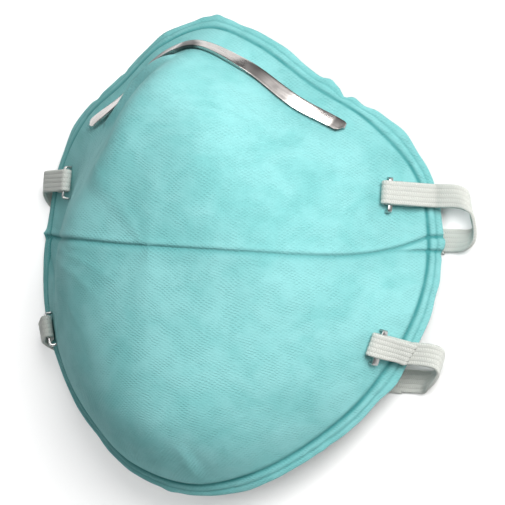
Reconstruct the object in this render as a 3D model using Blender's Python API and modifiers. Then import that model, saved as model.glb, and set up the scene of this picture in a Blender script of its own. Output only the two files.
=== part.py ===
"""Moulded cup respirator: a hollow cup with a welded flange, a nose clip and two stapled head straps.

Metres, +Z up. The mask lies on its straps and rim with the dome up. +Y points to the nose and +X to
the wearer's left. The origin is under the middle of the whole mask, on the surface it lies on.
"""

import math
from bisect import bisect_right

import bmesh
import bpy
from mathutils import Vector
from mathutils.bvhtree import BVHTree

MM = 0.001

# Cup, measured over the flange's outer edge
HALF_WIDTH = 61.6 * MM
HALF_LENGTH = 64.6 * MM
EDGE_RISE = 20.0 * MM
APEX_RISE = 50.0 * MM
APEX_FORWARD = -1.0 * MM
WALL = 1.8 * MM

# Welded flange and the groove pressed along its seam
FLANGE_WIDTH = 3.9 * MM
FLANGE_SLOPE = math.radians(42)
FLANGE_WALL = 1.1 * MM
SEAM_WIDTH = 1.5 * MM
SEAM_DEPTH = 0.45 * MM

# Crease that crosses the dome from cheek to cheek
CREASE_WIDTH = 3.0 * MM
CREASE_DEPTH = 0.9 * MM
CREASE_SHARE = 0.478

# Nose clip. The inset is from the seam to the clip's middle, over the nose and at the clip's ends.
CLIP_WIDTH = 3.9 * MM
CLIP_THICKNESS = 0.8 * MM
CLIP_INSET = 6.8 * MM
CLIP_END_INSET = 5.6 * MM
CLIP_END_SHARE = 0.285

# Head straps
STRAP_WIDTH = 6.3 * MM
STRAP_THICKNESS = 1.0 * MM
TAIL_LENGTH = 6.0 * MM

# Staples, bent from flat wire. The width is measured in plan, and the shift is toward the chin.
STAPLE_THICKNESS = 0.6 * MM
STAPLE_WIDTH = 1.0 * MM
STAPLE_SPAN = 9.6 * MM
STAPLE_FROM_FOLD = 0.5 * MM
STAPLE_SHIFT = 0.5 * MM
STAPLE_CORNER = 0.6 * MM

# Clearance between pieces that touch
GAP = 0.3 * MM

# Mesh density
AROUND_STEPS = 60
RING_SHARES = (0.03, 0.08, 0.14, 0.2, 0.26, 0.32, 0.39, 0.47, 0.56, 0.66, 0.77, 0.89, 1.0)
CLIP_STEPS = 40
STEPS_PER_STATION = 3
FOLD_STEPS = 6

# Flange's outer edge from nose to chin. across: share of the half width. forward: share of the
# half length. rise: share of the edge's rise.
EDGE_COLUMNS = ("across", "forward", "rise")
EDGE_TABLE = (
    (0.000, 1.000, 0.99),
    (0.263, 0.918, 0.99),
    (0.500, 0.759, 0.77),
    (0.745, 0.610, 0.45),
    (0.942, 0.370, 0.08),
    (1.000, 0.036, 0.01),
    (0.950, -0.266, 0.16),
    (0.786, -0.565, 0.365),
    (0.570, -0.776, 0.585),
    (0.315, -0.932, 0.81),
    (0.000, -1.003, 0.81),
)

# Dome's height as a share of the way from seam to apex, at each share of the way in.
# place: share of the way from nose to chin.
INWARD_SHARES = (0.0, 0.08, 0.16, 0.25, 0.35, 0.5, 0.7, 1.0)
DOME_TABLE = (
    # place, then one height for each inward share
    (0.00, 0.0, 0.19, 0.46, 0.73, 0.88, 0.955, 0.99, 1.0),
    (0.14, 0.0, 0.075, 0.22, 0.53, 0.78, 0.92, 0.975, 1.0),
    (0.22, 0.0, 0.065, 0.155, 0.36, 0.62, 0.86, 0.965, 1.0),
    (0.32, 0.0, 0.075, 0.165, 0.315, 0.52, 0.775, 0.94, 1.0),
    (0.50, 0.0, 0.07, 0.165, 0.375, 0.61, 0.825, 0.945, 1.0),
    (0.66, 0.0, 0.18, 0.34, 0.51, 0.665, 0.83, 0.945, 1.0),
    (0.84, 0.0, 0.29, 0.50, 0.67, 0.79, 0.90, 0.967, 1.0),
    (1.00, 0.0, 0.38, 0.63, 0.80, 0.89, 0.955, 0.987, 1.0),
)

# Strap loops. Each row is a station past the flange's edge. out: share of the loop's reach.
# back: share of the way from the leaving line to the return line. rise: share of the height at
# which the strap leaves the edge. tip: degrees by which the strap stands up on its edge.
# lean: degrees by which its upper edge leans outward.
LOOP_COLUMNS = ("out", "back", "rise", "tip", "lean")
UPPER_LOOP = (
    (0.30, 0.00, 0.97, 0, 0),
    (0.68, 0.00, 0.91, 6, 0),
    (0.96, 0.07, 0.82, 28, 8),
    (1.05, 0.27, 0.66, 60, 28),
    (1.06, 0.58, 0.50, 66, 30),
    (1.04, 0.84, 0.34, 46, 20),
    (0.76, 0.98, 0.14, 24, 5),
    (0.32, 1.00, 0.03, 6, 0),
)
LOWER_LOOP = (
    (0.30, 0.00, 0.97, 0, 0),
    (0.66, 0.03, 0.90, 8, 0),
    (0.93, 0.14, 0.76, 26, 6),
    (1.02, 0.40, 0.58, 48, 16),
    (0.98, 0.70, 0.42, 50, 12),
    (0.82, 0.92, 0.24, 34, 0),
    (0.62, 1.00, 0.08, 8, 0),
    (0.30, 1.00, 0.02, 0, 0),
)
TIGHT_LOOP = (
    (0.40, 0.03, 0.88, 0, 0),
    (0.85, 0.15, 0.66, 0, 0),
    (1.00, 0.35, 0.44, 0, 0),
    (0.85, 0.60, 0.20, 0, 0),
    (0.30, 0.85, 0.03, 0, 0),
)

# Each strap end. side: +1 the wearer's left, -1 the right. staple_across: share of the half width.
# line: share of the half length toward the nose, at the staple. heading: degrees by which the strap
# leaves its staple toward the chin. reach: past the flange's edge. return_line: share of the half
# length where the strap passes under the edge. lift: how far above the edge the strap leaves it.
# lies: shares of the tail's length over which the strap lies on its tail. hangs: shares of the way
# from there to the edge, for a strap that stands clear of the shell.
END_COLUMNS = (
    "side", "staple_across", "line", "heading", "reach", "return_line", "lift", "lies", "hangs", "loop",
)
LIES_FLAT = ((0.1, 0.55, 1.0), ())
STANDS_CLEAR = ((0.1,), (0.25, 0.6))
STRAPS = {
    "upper_strap": (
        (1, 0.794, 0.290, 0, 8.8 * MM, 0.112, 2.4 * MM, *LIES_FLAT, UPPER_LOOP),
        (-1, 0.794, 0.310, 0, 1.8 * MM, 0.232, 3.7 * MM, *STANDS_CLEAR, TIGHT_LOOP),
    ),
    "lower_strap": (
        (1, 0.803, -0.330, 16, 9.2 * MM, -0.475, 2.4 * MM, *LIES_FLAT, LOWER_LOOP),
        (-1, 0.803, -0.330, 16, 1.9 * MM, -0.410, 3.4 * MM, *STANDS_CLEAR, TIGHT_LOOP),
    ),
}

# The edge clears the strap runs below it, and its lower corner hangs under its upper one
EDGE_HEIGHT = STRAP_THICKNESS + GAP + FLANGE_WALL * math.cos(FLANGE_SLOPE)

# Length of the flange's edge from nose to chin, as that of an ellipse
HALF_ROUND = math.pi * (HALF_WIDTH + HALF_LENGTH) / 2

# Vertices closer than this are one
MERGE = 0.02 * MM

# Small steps, as shares, over which directions along the surface are read
AROUND_STEP = 0.002
INWARD_STEP = 0.004

COLLECTION = "cup_respirator_mask"


def smooth(stations, values, at):
    """Reads a smooth curve through the values at one station."""
    last = len(stations) - 1
    i = min(max(bisect_right(stations, at) - 1, 0), last - 1)

    def slope(k):
        before, after = max(k - 1, 0), min(k + 1, last)
        return (values[after] - values[before]) / (stations[after] - stations[before])

    step = stations[i + 1] - stations[i]
    t = (at - stations[i]) / step
    t2, t3 = t * t, t * t * t
    start = (2 * t3 - 3 * t2 + 1) * values[i] + (t3 - 2 * t2 + t) * step * slope(i)
    end = (3 * t2 - 2 * t3) * values[i + 1] + (t3 - t2) * step * slope(i + 1)
    return start + end


def mirrored(values, sign):
    """Adds a mirrored neighbour at each end, so that a curve crosses the middle plane smoothly."""
    return (sign * values[1],) + tuple(values) + (sign * values[-2],)


EDGE_SHARES = [(i - 1) / (len(EDGE_TABLE) - 1) for i in range(len(EDGE_TABLE) + 2)]
EDGE_CURVES = [
    mirrored([row[k] for row in EDGE_TABLE], -1 if name == "across" else 1)
    for k, name in enumerate(EDGE_COLUMNS)
]
DOME_PLACES = [-DOME_TABLE[1][0]] + [row[0] for row in DOME_TABLE] + [2 - DOME_TABLE[-2][0]]
DOME_CURVES = [mirrored([row[k + 1] for row in DOME_TABLE], 1) for k in range(len(INWARD_SHARES))]


def edge_point(around):
    """Point of the flange's outer edge, 0 and 1 at the nose, 0.5 at the chin, left side first."""
    side = 1 if around <= 0.5 else -1
    place = 2 * (around if side > 0 else 1 - around)
    across, forward, rise = (smooth(EDGE_SHARES, curve, place) for curve in EDGE_CURVES)
    return Vector((side * across * HALF_WIDTH, forward * HALF_LENGTH, EDGE_HEIGHT + rise * EDGE_RISE))


def seam_point(around):
    """Point where the flange meets the dome."""
    along = edge_point((around + AROUND_STEP) % 1) - edge_point((around - AROUND_STEP) % 1)
    outward = Vector((-along.y, along.x, 0)).normalized()
    run = FLANGE_WIDTH * math.cos(FLANGE_SLOPE)
    climb = FLANGE_WIDTH * math.sin(FLANGE_SLOPE)
    return edge_point(around) - outward * run + Vector((0, 0, climb))


def plain_point(around, inward):
    """Point of the outer surface without relief. inward: -1 edge, 0 seam, 1 apex."""
    seam = seam_point(around)
    if inward <= 0:
        return seam.lerp(edge_point(around), -inward)
    place = 2 * min(around, 1 - around)
    heights = [smooth(DOME_PLACES, curve, place) for curve in DOME_CURVES]
    apex = Vector((0, APEX_FORWARD, EDGE_HEIGHT + APEX_RISE))
    point = seam.lerp(apex, inward)
    point.z = seam.z + (apex.z - seam.z) * smooth(INWARD_SHARES, heights, inward)
    return point


def outward_normal(around, inward):
    """Unit normal of the outer surface, pointing out of the cup."""
    if inward == 1:
        return Vector((0, 0, 1))
    base = min(inward, 1 - 2 * INWARD_STEP)
    ahead = plain_point((around + AROUND_STEP) % 1, base)
    behind = plain_point((around - AROUND_STEP) % 1, base)
    inner = plain_point(around, base + INWARD_STEP)
    return (inner - plain_point(around, base)).cross(ahead - behind).normalized()


def reach_to_apex(around):
    """Length in plan of the way in from the seam to the apex."""
    return (seam_point(around).xy - Vector((0, APEX_FORWARD))).length


def relief(around, inward):
    """Height over the plain surface: the seam groove and the crease, both pressed in."""
    from_seam = abs(inward) * (reach_to_apex(around) if inward > 0 else FLANGE_WIDTH)
    depth = SEAM_DEPTH * max(0, 1 - 2 * from_seam / SEAM_WIDTH)
    if inward > 0:
        turn = 2 * min(around, 1 - around) - CREASE_SHARE
        from_crease = abs(turn) * HALF_ROUND * (1 - inward)
        starts = min(1, inward / RING_SHARES[1])
        depth += CREASE_DEPTH * starts * max(0, 1 - 2 * from_crease / CREASE_WIDTH)
    return -depth


def cup_point(around, inward):
    """Point of the finished outer surface."""
    return plain_point(around, inward) + outward_normal(around, inward) * relief(around, inward)


def around_shares():
    """Even steps round the cup, with closer ones beside both ends of the crease."""
    beside = CREASE_WIDTH / 2 / HALF_ROUND
    near = [CREASE_SHARE + k * beside for k in (-2.5, -1, 0, 1, 2.5)]
    even = [i / (AROUND_STEPS // 2) for i in range(AROUND_STEPS // 2 + 1)]
    clear = [share for share in even if not near[0] - beside < share < near[-1] + beside]
    half = [share / 2 for share in sorted(near + clear)]
    return half + [1 - share for share in reversed(half[:-1])]


def inward_shares():
    """Rings from the flange's edge to the apex, with the seam groove between."""
    groove = SEAM_WIDTH / 2
    dome_groove = groove / HALF_LENGTH
    return [-1, -0.6, -groove / FLANGE_WIDTH, 0, dome_groove] + list(RING_SHARES)


def material(name, colour, roughness, metallic=0.0):
    made = bpy.data.materials.new(name)
    made.use_nodes = True
    shader = made.node_tree.nodes["Principled BSDF"]
    shader.inputs["Base Color"].default_value = (*colour, 1)
    shader.inputs["Roughness"].default_value = roughness
    shader.inputs["Metallic"].default_value = metallic
    return made


def add_object(name, data, parts, root, look):
    made = bpy.data.objects.new(name, data)
    parts.objects.link(made)
    made.parent = root
    data.materials.append(look)
    return made


def mapped_grid(name, columns, rows, place):
    """Grid mesh whose vertex in a column and row goes to place(column, row)."""
    mesh = bpy.data.meshes.new(name)
    work = bmesh.new()
    bmesh.ops.create_grid(work, x_segments=columns - 1, y_segments=rows - 1, size=1)
    for vertex in work.verts:
        column = round((vertex.co.x + 1) / 2 * (columns - 1))
        row = round((vertex.co.y + 1) / 2 * (rows - 1))
        vertex.co = place(column, row)
    bmesh.ops.remove_doubles(work, verts=work.verts, dist=MERGE)
    bmesh.ops.recalc_face_normals(work, faces=work.faces)
    work.to_mesh(mesh)
    work.free()
    return mesh


def solidify(made, thickness, offset, even=False):
    thicken = made.modifiers.new("Solidify", "SOLIDIFY")
    thicken.thickness = thickness
    thicken.offset = offset
    thicken.use_even_offset = even
    return thicken


def add_shell(parts, root):
    """Outer surface of the cup and flange, thickened inward, thinner along the flange."""
    shares, rings = around_shares(), inward_shares()

    def place(column, row):
        return cup_point(shares[column], rings[row])

    mesh = mapped_grid("shell", len(shares), len(rings), place)
    top = max(mesh.vertices, key=lambda vertex: vertex.co.z)
    if top.normal.z < 0:
        mesh.flip_normals()
    cloth = material("teal nonwoven", (0.30, 0.72, 0.71), 0.9)
    shell = add_object("shell", mesh, parts, root, cloth)
    thin = shell.vertex_groups.new(name="thickness")
    edge = [edge_point(share) for share in shares]
    for vertex in mesh.vertices:
        from_edge = min((vertex.co - point).length for point in edge)
        thin.add([vertex.index], FLANGE_WALL / WALL if from_edge < FLANGE_WIDTH else 1, "REPLACE")
    thicken = solidify(shell, WALL, -1, even=True)
    thicken.vertex_group = thin.name
    mesh.shade_smooth()
    return shell


def add_nose_clip(parts, root):
    """Strip that follows the seam over the nose, seated on the dome."""
    lift = GAP + CLIP_THICKNESS / 2

    def place(column, row):
        turn = 2 * column / CLIP_STEPS - 1
        around = (turn * CLIP_END_SHARE / 2) % 1
        inset = CLIP_INSET + (CLIP_END_INSET - CLIP_INSET) * turn * turn
        reach = reach_to_apex(around)
        level = outward_normal(around, inset / reach).z
        inward = (inset + (row - 1) * level * CLIP_WIDTH / 2) / reach
        return cup_point(around, inward) + outward_normal(around, inward) * lift

    mesh = mapped_grid("nose_clip", CLIP_STEPS + 1, 3, place)
    metal = material("aluminium", (0.62, 0.62, 0.60), 0.35, 1.0)
    clip = add_object("nose_clip", mesh, parts, root, metal)
    solidify(clip, CLIP_THICKNESS, 0)


class Seat:
    """Finds the finished outer surface of the shell above a place in plan."""

    def __init__(self, shell):
        self.tree = BVHTree.FromObject(shell, bpy.context.evaluated_depsgraph_get())

    def at(self, across, forward, lift):
        start = Vector((across, forward, EDGE_HEIGHT + 2 * APEX_RISE))
        hit, normal, _, _ = self.tree.ray_cast(start, Vector((0, 0, -1)))
        return hit + normal * lift

    def band(self, place, across, lift):
        """Middle and width direction of a strap that lies over the surface."""
        middle, upper, lower = (
            self.at(*(place.xy + across.xy * STRAP_WIDTH * share), lift) for share in (0, 0.5, -0.5)
        )
        middle.z = max(middle.z, (upper.z + lower.z) / 2)
        return middle, (upper - lower).normalized()


def edge_beyond(side, start, heading):
    """Point of the flange's edge that a line in plan crosses on its way out."""
    near, far = 0.0, 0.5
    while far - near > 1e-6:
        middle = (near + far) / 2
        point = edge_point(middle)
        offset = Vector((point.x - side * start.x, point.y - start.y))
        if math.cos(heading) * offset.y + math.sin(heading) * offset.x > 0:
            near = middle
        else:
            far = middle
    point = edge_point(near)
    return Vector((side * point.x, point.y, point.z))


TAIL_LIFT = GAP + STRAP_THICKNESS / 2
STAPLE_LIFT = GAP + STRAP_THICKNESS + GAP + STAPLE_THICKNESS / 2
COVER_LIFT = STAPLE_LIFT + STAPLE_THICKNESS / 2 + GAP + STRAP_THICKNESS / 2


def end_directions(row):
    """Unit vectors in plan: outward along the strap, and across it toward the nose."""
    heading = math.radians(row["heading"])
    outward = Vector((row["side"] * math.cos(heading), -math.sin(heading), 0))
    across = Vector((row["side"] * math.sin(heading), math.cos(heading), 0))
    return outward, across


def strap_end(seat, end):
    """Stations from the tail under the staple, round the fold, over the edge and to the return run."""
    row = dict(zip(END_COLUMNS, end))
    side = row["side"]
    outward, flat = end_directions(row)
    staple = Vector((side * row["staple_across"] * HALF_WIDTH, row["line"] * HALF_LENGTH, 0))
    fold = staple - outward * STAPLE_FROM_FOLD
    edge = edge_beyond(side, fold, math.radians(row["heading"]))
    stations = []

    def seated(distance, lift):
        stations.append(seat.band(fold + outward * distance, flat, lift))

    turn = (COVER_LIFT - TAIL_LIFT) / 2
    for share in (1.0, 0.5, 0.1):
        seated(TAIL_LENGTH * share, TAIL_LIFT)
    for step in range(1, FOLD_STEPS):
        angle = math.pi * step / FOLD_STEPS
        seated(-turn * math.sin(angle), TAIL_LIFT + turn * (1 - math.cos(angle)))
    for share in row["lies"]:
        seated(TAIL_LENGTH * share, COVER_LIFT)
    leave = edge + Vector((0, 0, row["lift"] + TAIL_LIFT))
    clear, level = stations[-1]
    for share in row["hangs"]:
        stations.append((clear.lerp(leave, share), level.lerp(flat, share ** 2).normalized()))
    stations.append((leave, flat))
    floor = STRAP_THICKNESS / 2
    back = row["return_line"] * HALF_LENGTH - edge.y
    for step in row["loop"]:
        station = dict(zip(LOOP_COLUMNS, step))
        forward = edge.y + back * station["back"]
        beside = edge_beyond(side, Vector((0, forward)), 0)
        place = Vector((
            beside.x + side * row["reach"] * station["out"],
            forward,
            floor + (leave.z - floor) * station["rise"],
        ))
        tip, lean = math.radians(station["tip"]), math.radians(station["lean"])
        down = Vector((-side * math.sin(lean), 0, -math.cos(lean)))
        level = flat.lerp(Vector((0, 1, 0)), station["back"])
        stations.append((place, level * math.cos(tip) + down * math.sin(tip)))
    under = edge_beyond(side, Vector((0, row["return_line"] * HALF_LENGTH)), 0)
    for inboard in (0.5, 1.5):
        run = Vector((under.x - side * inboard * STRAP_WIDTH, under.y, floor))
        stations.append((run, Vector((0, 1, 0))))
    return stations


def strap_lines(stations):
    """Both edges of the strap, read smoothly from its stations, with one straight run between."""
    last = len(stations) - 1
    middle = len(stations) // 2 - 1
    spots = []
    for i in range(last):
        steps = 1 if i == middle else STEPS_PER_STATION
        spots += [(i, step / steps) for step in range(steps)]
    edges = []
    for i, share in spots + [(last - 1, 1.0)]:
        place, across = between(stations, i, share)
        across.normalize()
        place.z = max(place.z, (STRAP_THICKNESS + abs(across.z) * STRAP_WIDTH) / 2)
        edges.append((place - across * STRAP_WIDTH / 2, place + across * STRAP_WIDTH / 2))
    return edges


def between(stations, i, share):
    """Smooth place and across direction between a station and the next."""
    last = len(stations) - 1
    spread = []
    for k in range(2):
        p0, p1 = stations[max(i - 1, 0)][k], stations[i][k]
        p2, p3 = stations[i + 1][k], stations[min(i + 2, last)][k]
        s2, s3 = share * share, share * share * share
        spread.append(
            p1 + (p2 - p0) * 0.5 * share
            + (p0 - p1 * 2.5 + p2 * 2 - p3 * 0.5) * s2
            + (p3 - p0 + (p1 - p2) * 3) * 0.5 * s3
        )
    return spread


def add_strap(name, ends, seat, parts, root, look):
    left, right = (strap_end(seat, end) for end in ends)
    edges = strap_lines(left + list(reversed(right)))
    mesh = mapped_grid(name, len(edges), 2, lambda column, row: edges[column][row])
    strap = add_object(name, mesh, parts, root, look)
    solidify(strap, STRAP_THICKNESS, 0)
    return strap


def add_staple(name, end, seat, parts, root, look):
    """Flat wire over the strap's tail, with a leg down to the shell beside each edge."""
    row = dict(zip(END_COLUMNS, end))
    outward, across = end_directions(row)
    middle = Vector((row["side"] * row["staple_across"] * HALF_WIDTH, row["line"] * HALF_LENGTH, 0))
    middle -= across * STAPLE_SHIFT
    half = (STAPLE_SPAN - STAPLE_THICKNESS) / 2
    route = (
        (-half, GAP),
        (-half, STAPLE_LIFT - STAPLE_CORNER),
        (-half + STAPLE_CORNER, STAPLE_LIFT),
        (half - STAPLE_CORNER, STAPLE_LIFT),
        (half, STAPLE_LIFT - STAPLE_CORNER),
        (half, GAP),
    )

    def place(column, row):
        along, lift = route[column]
        spot = middle + across * along + outward * (row - 0.5) * STAPLE_WIDTH
        return seat.at(spot.x, spot.y, lift)

    mesh = mapped_grid(name, len(route), 2, place)
    solidify(add_object(name, mesh, parts, root, look), STAPLE_THICKNESS, 0)


def stand_on_origin(root, outermost):
    """Moves the whole mask so that the origin is under the middle of its footprint."""
    depsgraph = bpy.context.evaluated_depsgraph_get()
    corners = [
        vertex.co for part in outermost for vertex in part.evaluated_get(depsgraph).data.vertices
    ]
    low = [min(corner[k] for corner in corners) for k in range(3)]
    high = [max(corner[k] for corner in corners) for k in range(3)]
    root.location = (-(low[0] + high[0]) / 2, -(low[1] + high[1]) / 2, -low[2])


def main():
    for old in list(bpy.data.objects):
        bpy.data.objects.remove(old, do_unlink=True)
    parts = bpy.data.collections.new(COLLECTION)
    bpy.context.scene.collection.children.link(parts)
    root = bpy.data.objects.new("mask_origin", None)
    parts.objects.link(root)
    shell = add_shell(parts, root)
    add_nose_clip(parts, root)
    bpy.context.view_layer.update()
    seat = Seat(shell)
    elastic = material("white elastic", (0.80, 0.82, 0.77), 0.85)
    steel = material("staple steel", (0.55, 0.56, 0.58), 0.3, 1.0)
    outermost = [shell]
    for name, ends in STRAPS.items():
        outermost.append(add_strap(name, ends, seat, parts, root, elastic))
        for end in ends:
            wearer_side = "left" if end[0] > 0 else "right"
            staple = name.replace("strap", wearer_side)
            add_staple(f"staple_{staple}", end, seat, parts, root, steel)
    bpy.context.view_layer.update()
    stand_on_origin(root, outermost)


main()
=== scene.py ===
"""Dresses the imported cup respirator: pressed nonwoven cup, bent nose clip, elastic straps and staples."""

import math

import bmesh
import bpy
import numpy as np
from mathutils import Matrix, Vector
from mathutils.bvhtree import BVHTree


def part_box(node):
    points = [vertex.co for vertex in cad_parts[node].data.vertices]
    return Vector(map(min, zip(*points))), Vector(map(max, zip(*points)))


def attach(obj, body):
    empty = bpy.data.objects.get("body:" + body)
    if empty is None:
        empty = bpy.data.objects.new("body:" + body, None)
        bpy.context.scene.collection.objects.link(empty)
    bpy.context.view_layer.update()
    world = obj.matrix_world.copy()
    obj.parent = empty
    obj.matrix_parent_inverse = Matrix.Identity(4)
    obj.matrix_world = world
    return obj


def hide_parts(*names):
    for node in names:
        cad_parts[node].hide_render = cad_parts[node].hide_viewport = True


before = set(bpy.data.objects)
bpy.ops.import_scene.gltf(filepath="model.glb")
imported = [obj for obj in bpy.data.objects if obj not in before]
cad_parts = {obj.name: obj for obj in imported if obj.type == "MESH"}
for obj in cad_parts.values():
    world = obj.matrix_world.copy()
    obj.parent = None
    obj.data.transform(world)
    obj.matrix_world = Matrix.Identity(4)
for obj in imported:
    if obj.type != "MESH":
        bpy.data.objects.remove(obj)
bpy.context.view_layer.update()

bl_info = {
    "name": "Cup respirator",
    "version": (1, 0, 0),
    "blender": (4, 5, 0),
    "location": "3D View > Sidebar > Respirator",
    "description": "Builds a moulded cup respirator with its nose clip, head straps and staples",
    "category": "Add Mesh",
}

MM = 0.001
SHELL_LOW, SHELL_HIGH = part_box("shell")

# Flange's outer edge from nose to chin: share of the half width, of the half length, of the rise
EDGE_TABLE = (
    (0.000, 1.000, 0.99),
    (0.263, 0.918, 0.99),
    (0.500, 0.759, 0.77),
    (0.745, 0.610, 0.45),
    (0.942, 0.370, 0.08),
    (1.000, 0.036, 0.01),
    (0.950, -0.266, 0.16),
    (0.786, -0.565, 0.365),
    (0.570, -0.776, 0.585),
    (0.315, -0.932, 0.81),
    (0.000, -1.003, 0.81),
)
CHIN_SHARE = -EDGE_TABLE[-1][1]

# Dome's height at each share of the way in, for places between nose and chin
INWARD_SHARES = (0.0, 0.08, 0.16, 0.25, 0.35, 0.5, 0.7, 1.0)
DOME_TABLE = (
    (0.00, 0.0, 0.19, 0.46, 0.73, 0.88, 0.955, 0.99, 1.0),
    (0.14, 0.0, 0.075, 0.22, 0.53, 0.78, 0.92, 0.975, 1.0),
    (0.22, 0.0, 0.065, 0.155, 0.36, 0.62, 0.86, 0.965, 1.0),
    (0.32, 0.0, 0.075, 0.165, 0.315, 0.52, 0.775, 0.94, 1.0),
    (0.50, 0.0, 0.07, 0.165, 0.375, 0.61, 0.825, 0.945, 1.0),
    (0.66, 0.0, 0.18, 0.34, 0.51, 0.665, 0.83, 0.945, 1.0),
    (0.84, 0.0, 0.29, 0.50, 0.67, 0.79, 0.90, 0.967, 1.0),
    (1.00, 0.0, 0.38, 0.63, 0.80, 0.89, 0.955, 0.987, 1.0),
)

# The crease across the dome, in millimetres to the wearer's left and toward the nose
CREASE_LINE = (
    (-64.0, 5.0), (-52.8, 4.1), (-38.0, 3.1), (-24.0, 2.2), (-14.0, 1.6), (-5.7, 1.2), (3.2, 1.0),
    (13.9, 0.8), (26.4, 0.7), (34.3, 0.7), (41.0, 1.1), (45.5, 2.0), (50.2, 3.9), (54.2, 5.7),
    (58.6, 8.0), (63.0, 10.0),
)
CREASE_DEPTHS = ((-62, 1.0), (-50, 0.85), (-20, 0.7), (10, 0.6), (35, 0.55), (48, 0.7), (62, 0.75))
# Section of the crease, in millimetres: reach of its upper and lower side, then the swells beside it
# as height, place above the crease and half width
CREASE_UPPER, CREASE_LOWER = 0.42, 1.0
CREASE_SWELLS = ((0.16, 1.15, 0.8), (-0.18, -3.0, 3.2))
CREASE_REACHES_FLANGE = (40, 52)

# Lower edge of the small tuck where the crease reaches the left cheek's flange
TUCK_LINE = ((49.0, 3.2), (51.2, 3.9), (54.5, 4.2), (57.8, 4.5), (60.2, 4.8), (63.0, 5.2))
TUCK_FROM, TUCK_TO = 49.5, 58.5
TUCK_STEP, TUCK_GROOVE, TUCK_WIDTH = 0.55, 0.5, 0.45
TUCK_EDGE, TUCK_BELOW_CREASE = 0.25, (0.1, 0.9)

# Folds and stretch marks: height, half width, then the points that the mark runs through
FOLDS = (
    (-0.55, 1.0, ((-60.8, 3.6), (-58.4, -1.0), (-54.0, -6.0), (-48.5, -11.0), (-43.0, -16.0))),
    (0.22, 1.2, ((-57.0, 2.0), (-50.0, -4.0), (-44.0, -10.0))),
    (0.16, 1.3, ((-49.0, 1.8), (-36.0, -3.0), (-24.0, -7.5), (-14.0, -14.0))),
    (0.13, 1.1, ((-47.0, 2.0), (-32.0, -0.5), (-17.0, -5.0), (-7.0, -10.0))),
    (0.13, 1.1, ((-50.0, 0.0), (-40.0, -7.0), (-30.0, -14.0), (-22.0, -22.0))),
    (0.40, 1.5, ((6.1, -49.5), (6.3, -53.0), (5.4, -57.0), (3.6, -60.0))),
    (-0.22, 1.5, ((9.6, -51.0), (9.4, -55.0), (8.0, -59.0))),
    (0.22, 3.6, ((24.0, -47.5), (30.0, -46.0), (35.0, -42.5))),
    (-0.20, 1.4, ((17.5, 51.6), (20.0, 49.0), (23.2, 46.4))),
)

# Broad swells of the right cheek's wall: height, half width, route
SWELLS = (
    (2.6, 6.5, ((0.5, 53.0), (-1.5, 49.0), (-4.0, 44.5), (-6.5, 39.5), (-8.2, 34.5), (-10.5, 28.5),
                (-15.0, 21.8), (-20.0, 15.2), (-24.5, 9.8), (-28.5, 5.0), (-31.5, 0.0))),
)
# Distances from the seam over which a swell rises to its full height
SWELLS_START = (1.0, 7.0)

# Roll of cloth beside the clip's right arm: height, half width, how far in from the clip, from and to
CLIP_ROLL = (3.2, 1.0, 2.6, 0.10, 0.92)

# Nicks and kinks of the flange: place, half width along it, outward, upward, all in millimetres
FLANGE_KINKS = (
    ((-61.2, 5.0), 0.9, 0.9, 0.2),
    ((-61.0, 0.5), 4.5, 0.2, 0.1),
    ((-61.0, 12.0), 4.0, -0.3, 0.0),
    ((33.0, 47.2), 2.0, 1.1, 0.5),
    ((37.4, 44.6), 1.5, -1.5, -0.3),
    ((42.5, 42.0), 2.4, -0.8, 0.0),
    ((51.5, 34.0), 4.8, 0.95, 0.1),
    ((61.3, 6.8), 1.3, 0.5, 0.4),
    ((61.8, 3.6), 0.9, -0.5, -0.2),
    ((61.2, 8.0), 7.0, 0.3, 0.0),
    ((61.2, -4.0), 3.0, 0.4, 0.0),
    ((52.0, -31.0), 4.2, 0.8, 0.1),
    ((35.0, -50.0), 1.5, 0.3, 0.1),
    ((-7.5, -63.8), 2.0, 0.45, 0.1),
    ((-34.5, -51.0), 4.5, -0.35, 0.0),
    ((0.8, 64.6), 2.2, 0.7, 0.1),
    ((7.5, 63.3), 3.6, -0.6, -0.1),
    ((-3.0, 64.5), 2.0, 0.3, 0.0),
    ((-13.5, 60.0), 5.0, 0.8, 0.1),
    ((-29.2, 50.8), 1.3, -0.4, 0.2),
    ((-40.5, 43.5), 1.9, -0.6, 0.2),
    ((-50.5, 35.0), 5.0, 0.55, 0.1),
)

# Pinches pressed across the flange: place, half width, depth
FLANGE_PINCHES = (
    ((61.2, -3.0), 0.7, 0.34), ((60.9, -7.6), 0.5, 0.25), ((51.5, 35.5), 0.6, 0.3),
    ((44.0, 40.5), 0.5, 0.2), ((20.5, 58.0), 0.6, 0.25), ((9.5, 62.8), 0.5, 0.25),
    ((-12.0, 61.5), 0.6, 0.25), ((-24.0, 54.5), 0.5, 0.2), ((-46.0, 39.5), 0.6, 0.25),
    ((-57.0, 24.0), 0.6, 0.25), ((-60.0, -12.0), 0.5, 0.2), ((-53.0, -34.0), 0.6, 0.25),
    ((-38.0, -48.0), 0.5, 0.2), ((-14.0, -62.0), 0.6, 0.22), ((12.0, -62.5), 0.6, 0.25),
    ((33.0, -52.0), 0.5, 0.22), ((50.0, -36.0), 0.6, 0.25), ((58.5, -18.0), 0.5, 0.22),
)

# Slow waves of the flange: waves round the cup, start angle, outward, upward
FLANGE_WAVES = ((7, 0.4, 0.16, 0.10), (13, 1.9, 0.12, 0.12), (23, 4.1, 0.07, 0.10), (41, 2.6, 0.05, 0.05))
WAVE_LAG = 1.3

# Faint lines along the flange: height, share of the way out, half width as a share
FLANGE_LINES = ((-0.24, 0.56, 0.08), (0.14, 0.36, 0.12), (0.10, 0.84, 0.12))

# Patches of stretched, paler cloth: strength, across, forward, half width, half length
STRETCHED_PATCHES = ((0.9, 8, 40, 22, 14), (0.7, -34, -6, 18, 9))

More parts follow.
